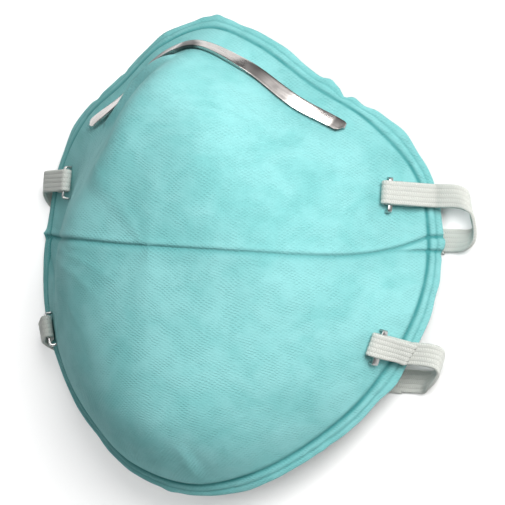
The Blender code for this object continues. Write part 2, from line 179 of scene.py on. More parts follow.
# Strap loops past the flange's edge: out, back, rise, tip, lean
UPPER_LOOP = (
    (0.30, 0.00, 0.97, 0, 0),
    (0.68, 0.00, 0.91, 6, 0),
    (0.96, 0.07, 0.82, 28, 8),
    (1.05, 0.27, 0.66, 60, 28),
    (1.06, 0.58, 0.50, 66, 30),
    (1.04, 0.84, 0.34, 46, 20),
    (0.76, 0.98, 0.14, 24, 5),
    (0.32, 1.00, 0.03, 6, 0),
)
LOWER_LOOP = (
    (0.30, 0.00, 0.97, 0, 0),
    (0.66, 0.03, 0.90, 8, 0),
    (0.93, 0.14, 0.76, 26, 6),
    (1.02, 0.40, 0.58, 48, 16),
    (0.98, 0.70, 0.42, 50, 12),
    (0.82, 0.92, 0.24, 34, 0),
    (0.62, 1.00, 0.08, 8, 0),
    (0.30, 1.00, 0.02, 0, 0),
)
TIGHT_LOOP = (
    (0.40, 0.03, 0.88, 0, 0),
    (0.85, 0.15, 0.66, 0, 0),
    (1.00, 0.35, 0.44, 0, 0),
    (0.85, 0.60, 0.20, 0, 0),
    (0.30, 0.85, 0.03, 0, 0),
)

# How a strap end runs from its fold: shares of the tail on which it lies, then shares of the way to
# the flange's edge at which it hangs
LIES_FLAT = ((0.1, 0.55, 1.0), ())
STANDS_CLEAR = ((0.1,), (0.25, 0.6))

# Strap ends: side, staple across, line, heading, reach, return line, lift, lies, hangs, loop
STRAPS = {
    "upper_strap": (
        (1, 0.794, 0.290, 0, 8.8 * MM, 0.112, 2.4 * MM, *LIES_FLAT, UPPER_LOOP),
        (-1, 0.794, 0.310, 0, 1.8 * MM, 0.232, 3.7 * MM, *STANDS_CLEAR, TIGHT_LOOP),
    ),
    "lower_strap": (
        (1, 0.803, -0.330, 16, 9.2 * MM, -0.475, 2.4 * MM, *LIES_FLAT, LOWER_LOOP),
        (-1, 0.803, -0.330, 16, 1.9 * MM, -0.410, 3.4 * MM, *STANDS_CLEAR, TIGHT_LOOP),
    ),
}
END_COLUMNS = (
    "side", "staple_across", "line", "heading", "reach", "return_line", "lift", "lies", "hangs", "loop",
)
LOOP_COLUMNS = ("out", "back", "rise", "tip", "lean")
STRAP_ENDS = {name: [dict(zip(END_COLUMNS, end)) for end in ends] for name, ends in STRAPS.items()}


def length(name, description, default):
    return bpy.props.FloatProperty(
        name=name, description=description, default=default, min=0.0, soft_max=0.2, precision=5,
        unit="LENGTH", subtype="DISTANCE",
    )


def colour(name, description, default):
    return bpy.props.FloatVectorProperty(
        name=name, description=description, default=default, min=0.0, max=1.0, size=3, subtype="COLOR",
    )


def degrees(name, description, default):
    return bpy.props.FloatProperty(
        name=name, description=description, default=math.radians(default), subtype="ANGLE",
    )


class CupSettings(bpy.types.PropertyGroup):
    half_width: length(
        "Half width", "From the middle to the flange's edge at the cheeks",
        (SHELL_HIGH.x - SHELL_LOW.x) / 2,
    )
    half_length: length(
        "Half length", "From the middle to the flange's edge at the nose",
        (SHELL_HIGH.y - SHELL_LOW.y) / (1 + CHIN_SHARE),
    )
    edge_rise: length("Edge rise", "How far the edge rises from the cheeks to the nose", 20.0 * MM)
    apex_rise: length("Apex rise", "Top of the dome above the edge at the cheeks", 50.0 * MM)
    apex_back: length("Apex setback", "Top of the dome behind the middle, toward the chin", 1.0 * MM)
    wall: length("Wall", "Thickness of the dome's wall", 1.8 * MM)
    flange_width: length("Flange width", "Width of the welded flange", 3.9 * MM)
    flange_wall: length("Flange wall", "Thickness of the pressed flange", 1.1 * MM)
    flange_slope: degrees("Flange slope", "How steeply the flange falls outward", 42)
    seam_depth: length("Seam depth", "Depth of the welded seam's groove", 0.5 * MM)
    seam_width: length("Seam width", "Width of the welded seam's groove", 1.5 * MM)
    outer_colour: colour("Cloth", "Colour of the outer nonwoven", (0.205, 0.550, 0.550))
    outer_pale: colour("Cloth, pale", "Colour of its paler clouds", (0.285, 0.645, 0.650))
    # The deep colour also serves as the painted shade in the crease, folds and grooves
    outer_deep: colour("Cloth, deep", "Colour inside its bond points and folds", (0.060, 0.290, 0.295))
    inner_colour: colour("Lining", "Colour of the inner nonwoven", (0.70, 0.78, 0.76))
    bond_pitch: length("Bond pitch", "Distance between bond points along a row", 1.30 * MM)


class ClipSettings(bpy.types.PropertyGroup):
    width: length("Width", "Width of the nose clip", 3.9 * MM)
    thickness: length("Thickness", "Thickness of the nose clip", 0.8 * MM)
    inset: length("Inset at the nose", "From the seam to the clip's middle over the nose", 6.8 * MM)
    end_inset: length("Inset at the ends", "From the seam to the clip's middle at its ends", 5.6 * MM)
    end_share: bpy.props.FloatProperty(
        name="Reach", description="Share of the way from nose to chin that each arm covers",
        default=0.285, min=0.05, max=0.6, subtype="FACTOR",
    )
    metal: colour("Aluminium", "Colour of the clip", (0.60, 0.57, 0.55))


class StrapSettings(bpy.types.PropertyGroup):
    width: length("Width", "Width of the elastic", 6.3 * MM)
    thickness: length("Thickness", "Thickness of the elastic", 1.0 * MM)
    tail: length("Tail", "Length of the end folded under the staple", 6.0 * MM)
    ribs: bpy.props.IntProperty(
        name="Ribs", description="Ribs across the elastic", default=5, min=1, max=12,
    )
    elastic: colour("Elastic", "Colour of the elastic", (0.62, 0.64, 0.60))


class StapleSettings(bpy.types.PropertyGroup):
    span: length("Span", "Length of the staple over its legs", 9.6 * MM)
    wire_width: length("Wire width", "Width of the flat wire, measured in plan", 1.0 * MM)
    wire_thickness: length("Wire thickness", "Thickness of the flat wire", 0.6 * MM)
    from_fold: length("From the fold", "From the strap's fold to the staple", 0.5 * MM)
    shift: length("Shift", "How far the staple sits toward the chin from the strap's middle", 0.5 * MM)
    steel: colour("Steel", "Colour of the staples", (0.50, 0.50, 0.49))


class StageSettings(bpy.types.PropertyGroup):
    turn: degrees("Camera turn", "Turn of the camera to the wearer's left of the dome", 27)
    tilt: degrees("Camera tilt", "Turn of the camera toward the chin", 1.5)
    roll: degrees("Camera roll", "Roll of the camera", 3.0)
    distance: bpy.props.FloatProperty(
        name="Camera distance", description="From the middle of the cup's edge to the camera",
        default=0.650, min=0.2, max=3.0, unit="LENGTH", subtype="DISTANCE",
    )
    floor_colour: colour("Floor", "Colour of the floor", (0.92, 0.92, 0.92))
    key_power: bpy.props.FloatProperty(
        name="Key light", description="Power of the large light over the left brow",
        default=10.2, min=0.0, unit="POWER",
    )
    fill: bpy.props.FloatProperty(
        name="Fill", description="Strength of the even light from all round", default=0.2, min=0.0,
    )


# Reading the cup's surface

GAP = 0.3 * MM
SEAM_TO_DOME = (0.0, 2.5 * MM)
DEEPEST = (0.78 * MM, 1.4 * MM)


def slopes_of(stations, rows):
    slopes = np.empty_like(rows)
    slopes[:, 1:-1] = (rows[:, 2:] - rows[:, :-2]) / (stations[2:] - stations[:-2])
    slopes[:, 0] = (rows[:, 1] - rows[:, 0]) / (stations[1] - stations[0])
    slopes[:, -1] = (rows[:, -1] - rows[:, -2]) / (stations[-1] - stations[-2])
    return slopes


def smooth(stations, values, at):
    """Smooth curve through the values, read at many places. Values may be one row or a row a place."""
    stations = np.asarray(stations, float)
    rows = np.atleast_2d(np.asarray(values, float))
    slopes = slopes_of(stations, rows)
    at = np.asarray(at, float)
    i = np.clip(np.searchsorted(stations, at, side="right") - 1, 0, len(stations) - 2)
    row = np.arange(len(at)) if len(rows) > 1 else 0
    step = stations[i + 1] - stations[i]
    t = (at - stations[i]) / step
    t2, t3 = t * t, t * t * t
    start = (2 * t3 - 3 * t2 + 1) * rows[row, i] + (t3 - 2 * t2 + t) * step * slopes[row, i]
    end = (3 * t2 - 2 * t3) * rows[row, i + 1] + (t3 - t2) * step * slopes[row, i + 1]
    return start + end


def mirrored(values, sign):
    return [sign * values[1]] + list(values) + [sign * values[-2]]


def eased(values, low, high):
    """0 below low, 1 above high, smooth between."""
    t = np.clip((values - low) / (high - low), 0, 1)
    return t * t * (3 - 2 * t)


def hump(values, middle, half_width):
    """1 at the middle, fading smoothly to both sides."""
    return np.exp(-((values - middle) / half_width) ** 2)


def unit(vectors):
    return vectors / np.linalg.norm(vectors, axis=1)[:, None]


def leaned(first, second, share):
    """Unit vectors turned from the first toward the second."""
    share = np.reshape(share, (-1, 1))
    return unit(first * (1 - share) + second * share)


def round_apart(around, share):
    """How far each share round the cup is from one share, the shorter way."""
    apart = np.abs(around - share)
    return np.minimum(apart, 1 - apart)


def across_line(x, line):
    """Place of a line toward the nose at each place across, both in millimetres."""
    return smooth([point[0] for point in line], [point[1] for point in line], x)


def from_route(x, y, route):
    """Distance of each place from a route through points, and how far along the route it is."""
    points = np.array(route, float)
    lengths = np.hypot(*np.diff(points, axis=0).T)
    before = np.concatenate(([0], np.cumsum(lengths)))
    nearest = np.full(len(x), np.inf)
    along = np.zeros(len(x))
    for k, size in enumerate(lengths):
        way = (points[k + 1] - points[k]) / size
        reach = np.clip((x - points[k, 0]) * way[0] + (y - points[k, 1]) * way[1], 0, size)
        apart = np.hypot(x - points[k, 0] - reach * way[0], y - points[k, 1] - reach * way[1])
        closer = apart < nearest
        nearest[closer] = apart[closer]
        along[closer] = (before[k] + reach[closer]) / before[-1]
    return nearest, along


class CupForm:
    """The outer surface of the cup and flange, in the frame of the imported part."""

    def __init__(self, cup, strap_thickness):
        self.cup = cup
        self.edge_height = strap_thickness + GAP + cup.flange_wall * math.cos(cup.flange_slope)
        self.middle = np.array([(SHELL_LOW.x + SHELL_HIGH.x) / 2, SHELL_HIGH.y - cup.half_length])
        self.shares = [(i - 1) / (len(EDGE_TABLE) - 1) for i in range(len(EDGE_TABLE) + 2)]
        self.curves = [mirrored([row[k] for row in EDGE_TABLE], -1 if k == 0 else 1) for k in range(3)]
        self.places = [-DOME_TABLE[1][0]] + [row[0] for row in DOME_TABLE] + [2 - DOME_TABLE[-2][0]]
        self.heights = [mirrored([row[k + 1] for row in DOME_TABLE], 1) for k in range(len(INWARD_SHARES))]
        self.apex_height = self.edge_height + cup.apex_rise
        self.girth = math.pi * (cup.half_width + cup.half_length)
        rounds = np.linspace(0, 1, 4097)
        seam = self.seam(rounds)
        turn = np.unwrap(np.arctan2(seam[:, 0], seam[:, 1] + cup.apex_back))
        self.table = (turn - turn[0], rounds, np.hypot(seam[:, 0], seam[:, 1] + cup.apex_back))

    def edge(self, around):
        """Points of the flange's outer edge, from the nose round by the wearer's left cheek."""
        around = np.mod(around, 1)
        side = np.where(around <= 0.5, 1, -1)
        place = 2 * np.where(around <= 0.5, around, 1 - around)
        across, forward, rise = (smooth(self.shares, curve, place) for curve in self.curves)
        return np.column_stack((
            side * across * self.cup.half_width,
            forward * self.cup.half_length,
            self.edge_height + rise * self.cup.edge_rise,
        ))

    def outward(self, around):
        along = self.edge(around + 0.002) - self.edge(around - 0.002)
        across = np.column_stack((-along[:, 1], along[:, 0], np.zeros(len(along))))
        return unit(across)

    def seam(self, around):
        run = self.cup.flange_width * math.cos(self.cup.flange_slope)
        climb = self.cup.flange_width * math.sin(self.cup.flange_slope)
        return self.edge(around) - self.outward(around) * run + np.array((0, 0, climb))

    def reach(self, around):
        """Distance in plan from the dome's top to the seam."""
        return np.interp(around, self.table[1], self.table[2])

    def shares_at(self, x, y):
        """Share round the cup and share of the way in, for places in plan."""
        turn = np.mod(np.arctan2(x, y + self.cup.apex_back), 2 * math.pi)
        around = np.interp(turn, self.table[0], self.table[1])
        reach = np.interp(turn, self.table[0], self.table[2])
        return around, 1 - np.hypot(x, y + self.cup.apex_back) / reach

    def from_seam(self, x, y):
        """Share round the cup and distance in plan from the seam."""
        around, inward = self.shares_at(x, y)
        return around, inward * self.reach(around)

    def around_of(self, place):
        """Share round the cup of one place in plan, in millimetres."""
        return float(self.shares_at(np.array([place[0] * MM]), np.array([place[1] * MM]))[0][0])

    def near(self, around, place, half_width):
        """1 beside one place in plan, fading along the girth. Both are in millimetres."""
        return hump(round_apart(around, self.around_of(place)) * (self.girth / MM), 0, half_width)

    def height(self, x, y):
        around, inward = self.shares_at(x, y)
        place = 2 * np.minimum(around, 1 - around)
        rows = np.column_stack([smooth(self.places, curve, place) for curve in self.heights])
        seam = self.seam(around)[:, 2]
        return seam + (self.apex_height - seam) * smooth(INWARD_SHARES, rows, inward)

    def dome_normal(self, x, y):
        step = 0.08 * MM
        lean = np.column_stack((
            self.height(x - step, y) - self.height(x + step, y),
            self.height(x, y - step) - self.height(x, y + step),
            np.full(len(x), 2 * step),
        ))
        return unit(lean)

    def dome(self, x, y, roll=True):
        """Plain points, normals and relief of the dome over places in plan."""
        plain = np.column_stack((x, y, self.height(x, y)))
        return plain, self.dome_normal(x, y), self.dome_relief(x, y, roll)

    def clip_roll(self, around, from_seam):
        """Height of the roll of cloth that the bent clip pushes up beside its right arm."""
        clip = bpy.context.scene.clip_settings
        height, half_width, inward, start, end = CLIP_ROLL
        arm = np.where(around > 0.5, 1 - around, -1) * 2 / clip.end_share
        line = (clip.inset + (clip.end_inset - clip.inset) * arm ** 2) / MM + inward
        along = np.sin(math.pi * np.clip((arm - start) / (end - start), 0, 1)) ** 0.7
        return height * along * hump(from_seam, line, half_width)

    def dome_relief(self, x, y, roll):
        around, from_seam = self.from_seam(x, y)
        groove = self.cup.seam_depth * eased(-from_seam, -self.cup.seam_width / 2, 0)
        relief = crease_relief(x / MM, y / MM) + marks_relief(x / MM, y / MM, FOLDS)
        relief += marks_relief(x / MM, y / MM, SWELLS) * eased(from_seam / MM, *SWELLS_START)
        if roll:
            relief += self.clip_roll(around, from_seam / MM)
        deepest = np.interp(from_seam, SEAM_TO_DOME, DEEPEST)
        return pressed_in(relief * MM - groove, deepest)

    def at_share(self, around, inward):
        """Place in plan at a share round the cup and a share of the way in."""
        seam = self.seam(around)
        apex = np.array((0, -self.cup.apex_back))
        return seam[:, :2] + (apex - seam[:, :2]) * inward[:, None]

    def world(self, points):
        return points + np.array((*self.middle, 0))


def pressed_in(relief, deepest):
    """Keeps what is pressed in from reaching through the wall."""
    return np.where(relief < 0, -deepest * np.tanh(-relief / deepest), relief)


def crease_relief(x, y):
    """Height of the crease across the dome and of the small tuck at its end, in millimetres."""
    above = y - across_line(x, CREASE_LINE)
    depth = np.interp(x, *zip(*CREASE_DEPTHS))
    upper = hump(np.maximum(above, 0), 0, CREASE_UPPER)
    lower = np.exp(-(np.maximum(-above, 0) / CREASE_LOWER) ** 1.5)
    relief = -depth * np.where(above > 0, upper, lower)
    for height, place, half_width in CREASE_SWELLS:
        relief += height * hump(above, place, half_width)
    starts = eased(x, TUCK_FROM, TUCK_TO)
    over = y - across_line(np.maximum(x, TUCK_LINE[0][0]), TUCK_LINE)
    inside = eased(over, -TUCK_EDGE, TUCK_EDGE) * eased(-above, *TUCK_BELOW_CREASE)
    groove = TUCK_GROOVE * hump(over, -TUCK_WIDTH, TUCK_WIDTH)
    return relief + starts * (TUCK_STEP * inside - groove)


def marks_relief(x, y, marks):
    """Height of folds, stretch marks or swells, each fading toward its ends, in millimetres."""
    relief = np.zeros(len(x))
    for height, half_width, route in marks:
        apart, along = from_route(x, y, route)
        fades = np.sin(math.pi * np.clip(along, 0.02, 0.98)) ** 0.6
        relief += height * fades * hump(apart, 0, half_width)
    return relief


def flange_shift(form, around):
    """How far kinks and slow waves move the flange's edge outward and upward."""
    outward = np.zeros(len(around))
    upward = np.zeros(len(around))
    for waves, start, out, up in FLANGE_WAVES:
        turn = 2 * math.pi * waves * around + start
        outward += out * np.sin(turn)
        upward += up * np.cos(turn + WAVE_LAG)
    for place, half_width, out, up in FLANGE_KINKS:
        near = form.near(around, place, half_width)
        outward += out * near
        upward += up * near
    return outward * MM, upward * MM


def flange_relief(form, around, share):
    """Depth of the groove, the faint lines and the pinches at a share of the way out."""
    cup = form.cup
    groove = cup.seam_depth / MM * eased(-share * cup.flange_width, -cup.seam_width / 2, 0)
    relief = np.full(len(around), -groove)
    for height, place, half_width in FLANGE_LINES:
        relief += height * hump(share, place, half_width)
    fades = max(0.0, math.sin(math.pi * share)) ** 0.5
    for place, half_width, depth in FLANGE_PINCHES:
        relief -= depth * fades * form.near(around, place, half_width)
    return relief * MM


def crease_on_flange(seam):
    """Height of the crease and tuck where they cross the flange, in millimetres."""
    x, y = seam[:, 0] / MM, seam[:, 1] / MM
    return eased(np.abs(x), *CREASE_REACHES_FLANGE) * crease_relief(x, y)


# Making meshes


def mapped_grid(name, columns, rows, points, spots):
    """Grid that takes its points row by row, and a flat place for each point's corners."""
    mesh = bpy.data.meshes.new(name)
    work = bmesh.new()
    bmesh.ops.create_grid(work, x_segments=columns - 1, y_segments=rows - 1, size=1)
    order = work.verts.layers.int.new("order")
    for vertex in work.verts:
        column = round((vertex.co.x + 1) / 2 * (columns - 1))
        row = round((vertex.co.y + 1) / 2 * (rows - 1))
        vertex[order] = row * columns + column
        vertex.co = points[row * columns + column]
    layer = work.loops.layers.uv.new("cloth")
    for face in work.faces:
        for loop in face.loops:
            loop[layer].uv = spots[loop.vert[order]]
    return mesh, work, order


def finish_mesh(mesh, work, merge):
    bmesh.ops.remove_doubles(work, verts=work.verts, dist=merge)
    bmesh.ops.dissolve_degenerate(work, edges=work.edges, dist=merge / 4)
    bmesh.ops.recalc_face_normals(work, faces=work.faces)
    work.to_mesh(mesh)
    work.free()
    mesh.shade_smooth()


def new_piece(name, mesh, slot, *materials):
    made = bpy.data.objects.new(name, mesh)
    bpy.context.scene.collection.objects.link(made)
    for look in materials:
        mesh.materials.append(look)
    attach(made, "root")
    return made


def upwards(mesh):
    """Turns an open sheet over if most of it faces down."""
    if sum(face.normal.z * face.area for face in mesh.polygons) < 0:
        mesh.flip_normals()


def thicken(made, thickness, rounding):
    wall = made.modifiers.new("Wall", "SOLIDIFY")
    wall.thickness = thickness
    wall.offset = 0
    round_off = made.modifiers.new("Rounded edges", "BEVEL")
    round_off.width = rounding
    round_off.segments = 2
    round_off.limit_method = "ANGLE"
    round_off.angle_limit = math.radians(50)
    round_off.profile = 0.5
    round_off.material = -1

# Node helpers


class Nodes:
    """Short ways to add and join the nodes of one tree."""

    def __init__(self, tree):
        self.tree = tree

    def add(self, kind, **settings):
        node = self.tree.nodes.new(kind)
        for key, value in settings.items():
            setattr(node, key, value)
        return node

    def feed(self, node, values):
        for key, value in values.items():
            if isinstance(value, bpy.types.NodeSocket):
                self.tree.links.new(value, node.inputs[key])
            else:
                node.inputs[key].default_value = value

    def math(self, operation, first, second=0.0, clamp=False):
        node = self.add("ShaderNodeMath", operation=operation, use_clamp=clamp)
        self.feed(node, {0: first, 1: second})
        return node.outputs[0]

    def times(self, first, second, clamp=False):
        return self.math("MULTIPLY", first, second, clamp)

    def plus(self, first, second):
        return self.math("ADD", first, second)

    def minus(self, first, second):
        return self.math("SUBTRACT", first, second)

    def vector(self, operation, first, second=(0, 0, 0)):
        node = self.add("ShaderNodeVectorMath", operation=operation)
        self.feed(node, {0: first, 1: second})
        return node.outputs["Value"] if operation in ("LENGTH", "DOT_PRODUCT") else node.outputs[0]

    def ramp(self, value, low, high, out_low=0.0, out_high=1.0, kind="SMOOTHSTEP"):
        node = self.add("ShaderNodeMapRange", interpolation_type=kind)
        self.feed(node, {0: value, 1: low, 2: high, 3: out_low, 4: out_high})
        return node.outputs[0]

    def noise(self, place, scale, detail=2.0, roughness=0.5, distortion=0.0):
        node = self.add("ShaderNodeTexNoise")
        self.feed(node, {
            "Vector": place, "Scale": scale, "Detail": detail, "Roughness": roughness,
            "Distortion": distortion,
        })
        return node.outputs["Fac"]

    def blend(self, factor, first, second):
        node = self.add("ShaderNodeMix", data_type="RGBA")
        self.feed(node, {0: factor, 6: first, 7: second})
        return node.outputs[2]

    def bump(self, height, strength, distance):
        node = self.add("ShaderNodeBump")
        self.feed(node, {"Strength": strength, "Distance": distance, "Height": height})
        return node.outputs[0]

    def mapped(self, place, scale=(1, 1, 1), turn=0.0):
        node = self.add("ShaderNodeMapping")
        self.feed(node, {"Vector": place, "Scale": scale, "Rotation": (0, 0, turn)})
        return node.outputs[0]

    def parts(self, place):
        node = self.add("ShaderNodeSeparateXYZ")
        self.feed(node, {0: place})
        return node.outputs

    def marked(self, name):
        return self.add("ShaderNodeAttribute", attribute_name=name).outputs["Fac"]


class Looks(Nodes):
    """The nodes of one material, read over the flat places of a piece."""

    def __init__(self, name):
        self.material = bpy.data.materials.new(name)
        self.material.use_nodes = True
        super().__init__(self.material.node_tree)
        self.shader = self.tree.nodes["Principled BSDF"]

    def flat_place(self):
        return self.add("ShaderNodeUVMap", uv_map="cloth").outputs[0]


def shaded(tint, share=1.0):
    """Colour with its brightness scaled, as a shader takes it."""
    return (*(min(1.0, value * share) for value in tint), 1.0)


BOND_ROW = 0.72
BOND_OVAL = (0.34, 0.25)


def bond_points(looks, place, pitch, shift):
    """Mask of small oval bond points on one of two staggered lattices."""
    cells = looks.vector("MULTIPLY", place, (1 / pitch, 1 / (pitch * BOND_ROW), 1))
    cells = looks.vector("ADD", cells, (shift, shift, 0))
    local = looks.vector("SUBTRACT", looks.vector("FRACTION", cells), (0.5, 0.5, 0))
    oval = looks.vector("MULTIPLY", local, (1 / BOND_OVAL[0], 1 / BOND_OVAL[1], 0))
    return looks.ramp(looks.vector("LENGTH", oval), 0.45, 1.1, 1.0, 0.0)


def nonwoven(cup, name, base, pale, deep):
    """Matte spunbond cloth: oval bond points in diagonal rows, fibres, clouds, paler stretched patches,
    painted shade in the crease, folds and grooves, and the darker welded seam and flange.
    """
    looks = Looks(name)
    flat = looks.flat_place()
    wander = looks.noise(flat, 160.0, 2.0, 0.5)
    turned_flat = looks.mapped(flat, (1, 1, 1), math.radians(-6))
    offset = looks.times(looks.minus(wander, 0.5), 1.4 * MM)
    drift = looks.add("ShaderNodeCombineXYZ")
    looks.feed(drift, {0: offset, 1: offset})
    placed = looks.vector("ADD", turned_flat, drift.outputs[0])
    first = bond_points(looks, placed, cup.bond_pitch, 0.0)
    second = bond_points(looks, placed, cup.bond_pitch, 0.5)
    fade = looks.ramp(looks.noise(flat, 240.0, 3.0, 0.6), 0.34, 0.62, 0.25, 1.0)
    points = looks.times(looks.math("MAXIMUM", first, second), fade)
    fibres = looks.noise(looks.mapped(flat, (1.0, 2.6, 1)), 1500.0, 4.0, 0.7, 0.6)
    clouds = looks.noise(flat, 75.0, 4.0, 0.62, 0.4)
    broad = looks.noise(flat, 22.0, 3.0, 0.5)
    shade = looks.plus(looks.times(clouds, 0.62), looks.times(broad, 0.38))
    cloth = looks.blend(looks.ramp(shade, 0.36, 0.62), base, pale)
    cloth = looks.blend(looks.ramp(fibres, 0.25, 0.75, 0.0, 0.16), cloth, deep)
    cloth = looks.blend(looks.times(points, 0.17), cloth, deep)
    creased = looks.plus(looks.ramp(clouds, 0.35, 0.65, -0.14, 0.14), 0.86)
    # Painted shade in the crease, folds, tuck and grooves, and the darker tone of the welded seam and
    # flange, broken up by the clouds
    cloth = looks.blend(looks.times(looks.marked("pressed"), creased, clamp=True), cloth, deep)
    streaks = looks.noise(looks.mapped(flat, (0.16, 1.0, 1), math.radians(4)), 620.0, 2.0, 0.5, 0.5)
    stretched = looks.marked("stretched")
    veil = looks.times(looks.ramp(streaks, 0.42, 0.62), stretched)
    cloth = looks.blend(looks.times(veil, 0.30), cloth, pale)
    height = looks.plus(looks.times(points, -0.44), looks.times(fibres, 0.30))
    height = looks.plus(height, looks.times(clouds, 1.10))
    height = looks.plus(height, looks.times(looks.times(streaks, stretched), 0.9))
    looks.feed(looks.shader, {
        "Base Color": cloth, "Normal": looks.bump(height, 0.85, 0.22 * MM),
        "Roughness": looks.ramp(points, 0.0, 1.0, 0.92, 0.70), "Specular IOR Level": 0.20,
        "Sheen Weight": 0.07, "Sheen Roughness": 0.45, "Sheen Tint": (0.80, 0.97, 0.96, 1),
    })
    return looks.material


STITCH_STEP = 0.62 * MM
SOIL = (0.72, 0.72, 0.62, 1)


def elastic_webbing(straps):
    """Braided elastic: rubber ribs along it, small slanting stitches on each rib."""
    looks = Looks("white elastic")
    flat = looks.flat_place()
    across, along = looks.parts(flat)[:2]
    rib = looks.math("FRACT", looks.times(across, straps.ribs / straps.width))
    slant = looks.math("ABSOLUTE", looks.minus(rib, 0.5))
    step = looks.plus(looks.times(along, 1 / STITCH_STEP), looks.times(slant, 1.3))
    stitch = looks.math("ABSOLUTE", looks.minus(looks.math("FRACT", step), 0.5))
    stitch = looks.ramp(stitch, 0.12, 0.48, 1.0, 0.0)
    groove = looks.ramp(slant, 0.36, 0.5, 0.0, 1.0)
    fibres = looks.noise(looks.mapped(flat, (1, 0.4, 1)), 2600.0, 3.0, 0.6)
    soil = looks.noise(flat, 90.0, 3.0, 0.6)
    dark = shaded(straps.elastic, 0.62)
    # Painted shade in the grooves between the ribs and between the stitches
    cloth = looks.blend(looks.times(groove, 0.34), shaded(straps.elastic), dark)
    cloth = looks.blend(looks.times(looks.minus(1.0, stitch), 0.20), cloth, dark)
    cloth = looks.blend(looks.ramp(fibres, 0.3, 0.7, 0.0, 0.10), cloth, dark)
    cloth = looks.blend(looks.ramp(soil, 0.45, 0.75, 0.0, 0.10), cloth, SOIL)
    height = looks.plus(looks.times(stitch, 0.6), looks.times(fibres, 0.35))
    height = looks.minus(height, looks.times(groove, 0.5))
    looks.feed(looks.shader, {
        "Base Color": cloth, "Normal": looks.bump(height, 0.8, 0.14 * MM),
        "Roughness": looks.ramp(stitch, 0.0, 1.0, 0.92, 0.74),
        "Sheen Weight": 0.12, "Sheen Roughness": 0.5, "Specular IOR Level": 0.3,
    })
    return looks.material


def worked_metal(name, metal, roughness, brush, dents, dark_reflections=()):
    """Drawn metal strip or wire: long fine scratches, a few dents, duller patches and any stretches of
    painted dark reflection.
    """
    looks = Looks(name)
    flat = looks.flat_place()
    scratch = looks.noise(looks.mapped(flat, (0.05, 1.0, 1)), brush, 3.0, 0.6)
    dull = looks.noise(flat, 260.0, 3.0, 0.6, 0.5)
    dent = looks.noise(looks.mapped(flat, (0.45, 1.0, 1)), dents, 2.0, 0.4)
    tone = looks.blend(looks.ramp(scratch, 0.3, 0.7), shaded(metal), shaded(metal, 0.80))
    tone = looks.blend(looks.ramp(dull, 0.5, 0.8, 0.0, 0.30), tone, shaded(metal, 0.66))
    height = looks.plus(looks.times(scratch, 0.12), dent)
    rough = looks.ramp(scratch, 0.25, 0.75, roughness - 0.05, roughness + 0.08)
    rough = looks.plus(rough, looks.ramp(dull, 0.45, 0.8, 0.0, 0.10))
    ragged = looks.plus(looks.parts(flat)[0], looks.ramp(dent, 0.3, 0.7, -1.5 * MM, 1.5 * MM))
    # Stretches of painted dark reflection: nearly black, rougher metal
    for middle, half in dark_reflections:
        apart = looks.math("ABSOLUTE", looks.minus(ragged, middle))
        dark_reflection = looks.ramp(apart, half * 0.45, half * 1.3, 1.0, 0.0)
        tone = looks.blend(looks.times(dark_reflection, 0.88), tone, shaded(metal, 0.09))
        rough = looks.plus(rough, looks.times(dark_reflection, 0.16))
    looks.feed(looks.shader, {
        "Base Color": tone, "Roughness": rough, "Metallic": 1.0,
        "Normal": looks.bump(height, 0.5, 0.16 * MM),
    })
    return looks.material


# Cup

AROUND_STEPS = 520
FLANGE_RINGS = 12
DOME_RINGS = 122
RIM_RINGS = 3
INNER_RINGS = 30
POLE = np.array((0.0, 1.1)) * MM
SEAM_LINE = 0.50 * MM
CREASE_ENDS = ((57.5, 6.3), (-58.0, 4.2))
COLUMN_CROWD, CROWD_REACH = 3.4, 0.017
CREASE_PULL = 0.06
CLOSER_RINGS, CLOSER_REACH = 1.6 * MM, 1.0 * MM
CUP_MERGE = 0.0012 * MM

# Distances from the seam over which the surface turns from the flange's way to the dome's
OUTER_TURN, INNER_TURN, WALL_GROWS = 1.6 * MM, 2.0 * MM, 3.0 * MM
FLANGE_TURN = 0.4
RIM_BULGE = 0.14 * MM
UNDER_FLANGE = (0.66, 0.33, 0.0)
SOFTER_INSIDE, TUCK_INSIDE = 0.35, 0.5

# How dark the cloth is made: painted shade in the crease, the folds and the tuck; the darker welded seam
# and flange line, with painted shade in their grooves; the darker welded flange
CREASE_SHADE, FOLD_SHADE, SEAM_TONE_AND_SHADE, TUCK_SHADE = 1.15, 0.7, 1.15, 1.1
DEEP_FLANGE, FLANGE_LINE_TONE_AND_SHADE = 0.12, (0.50, 0.56, 0.07)

# Flat places of the cloth: share of the place in plan, and of the way along the surface
FLAT_IN_PLAN, FLAT_ALONG = 0.45, 0.55


def cup_columns(form):
    """Shares round the cup, closer together beside both ends of the crease, and those ends."""
    ends = [form.around_of(place) for place in CREASE_ENDS]
    fine = np.linspace(0, 1, 20001)
    crowd = np.ones(len(fine))
    for end in ends:
        crowd += COLUMN_CROWD * hump(fine, end, CROWD_REACH)
    total = np.concatenate(([0], np.cumsum((crowd[1:] + crowd[:-1]) / 2)))
    return np.interp(np.linspace(0, 1, AROUND_STEPS + 1), total / total[-1], fine), ends


def dome_places(form, shares, ends, inward):
    """Places in plan where each column of the mesh crosses one ring, bent to follow the crease."""
    seam = form.seam(shares)[:, :2]
    spots = seam + (POLE - seam) * inward
    for end in ends:
        start = form.seam(np.array([end]))[0, :2]
        spot = start + (POLE - start) * inward
        line, start_line = across_line(np.array((spot[0], start[0])) / MM, CREASE_LINE) * MM
        begins = (start_line - start[1]) * (1 - inward)
        shift = line - spot[1] - begins + begins * eased(inward, 0.0, 0.05)
        spots[:, 1] += shift * hump(round_apart(shares, end), 0, CREASE_PULL)
    return spots


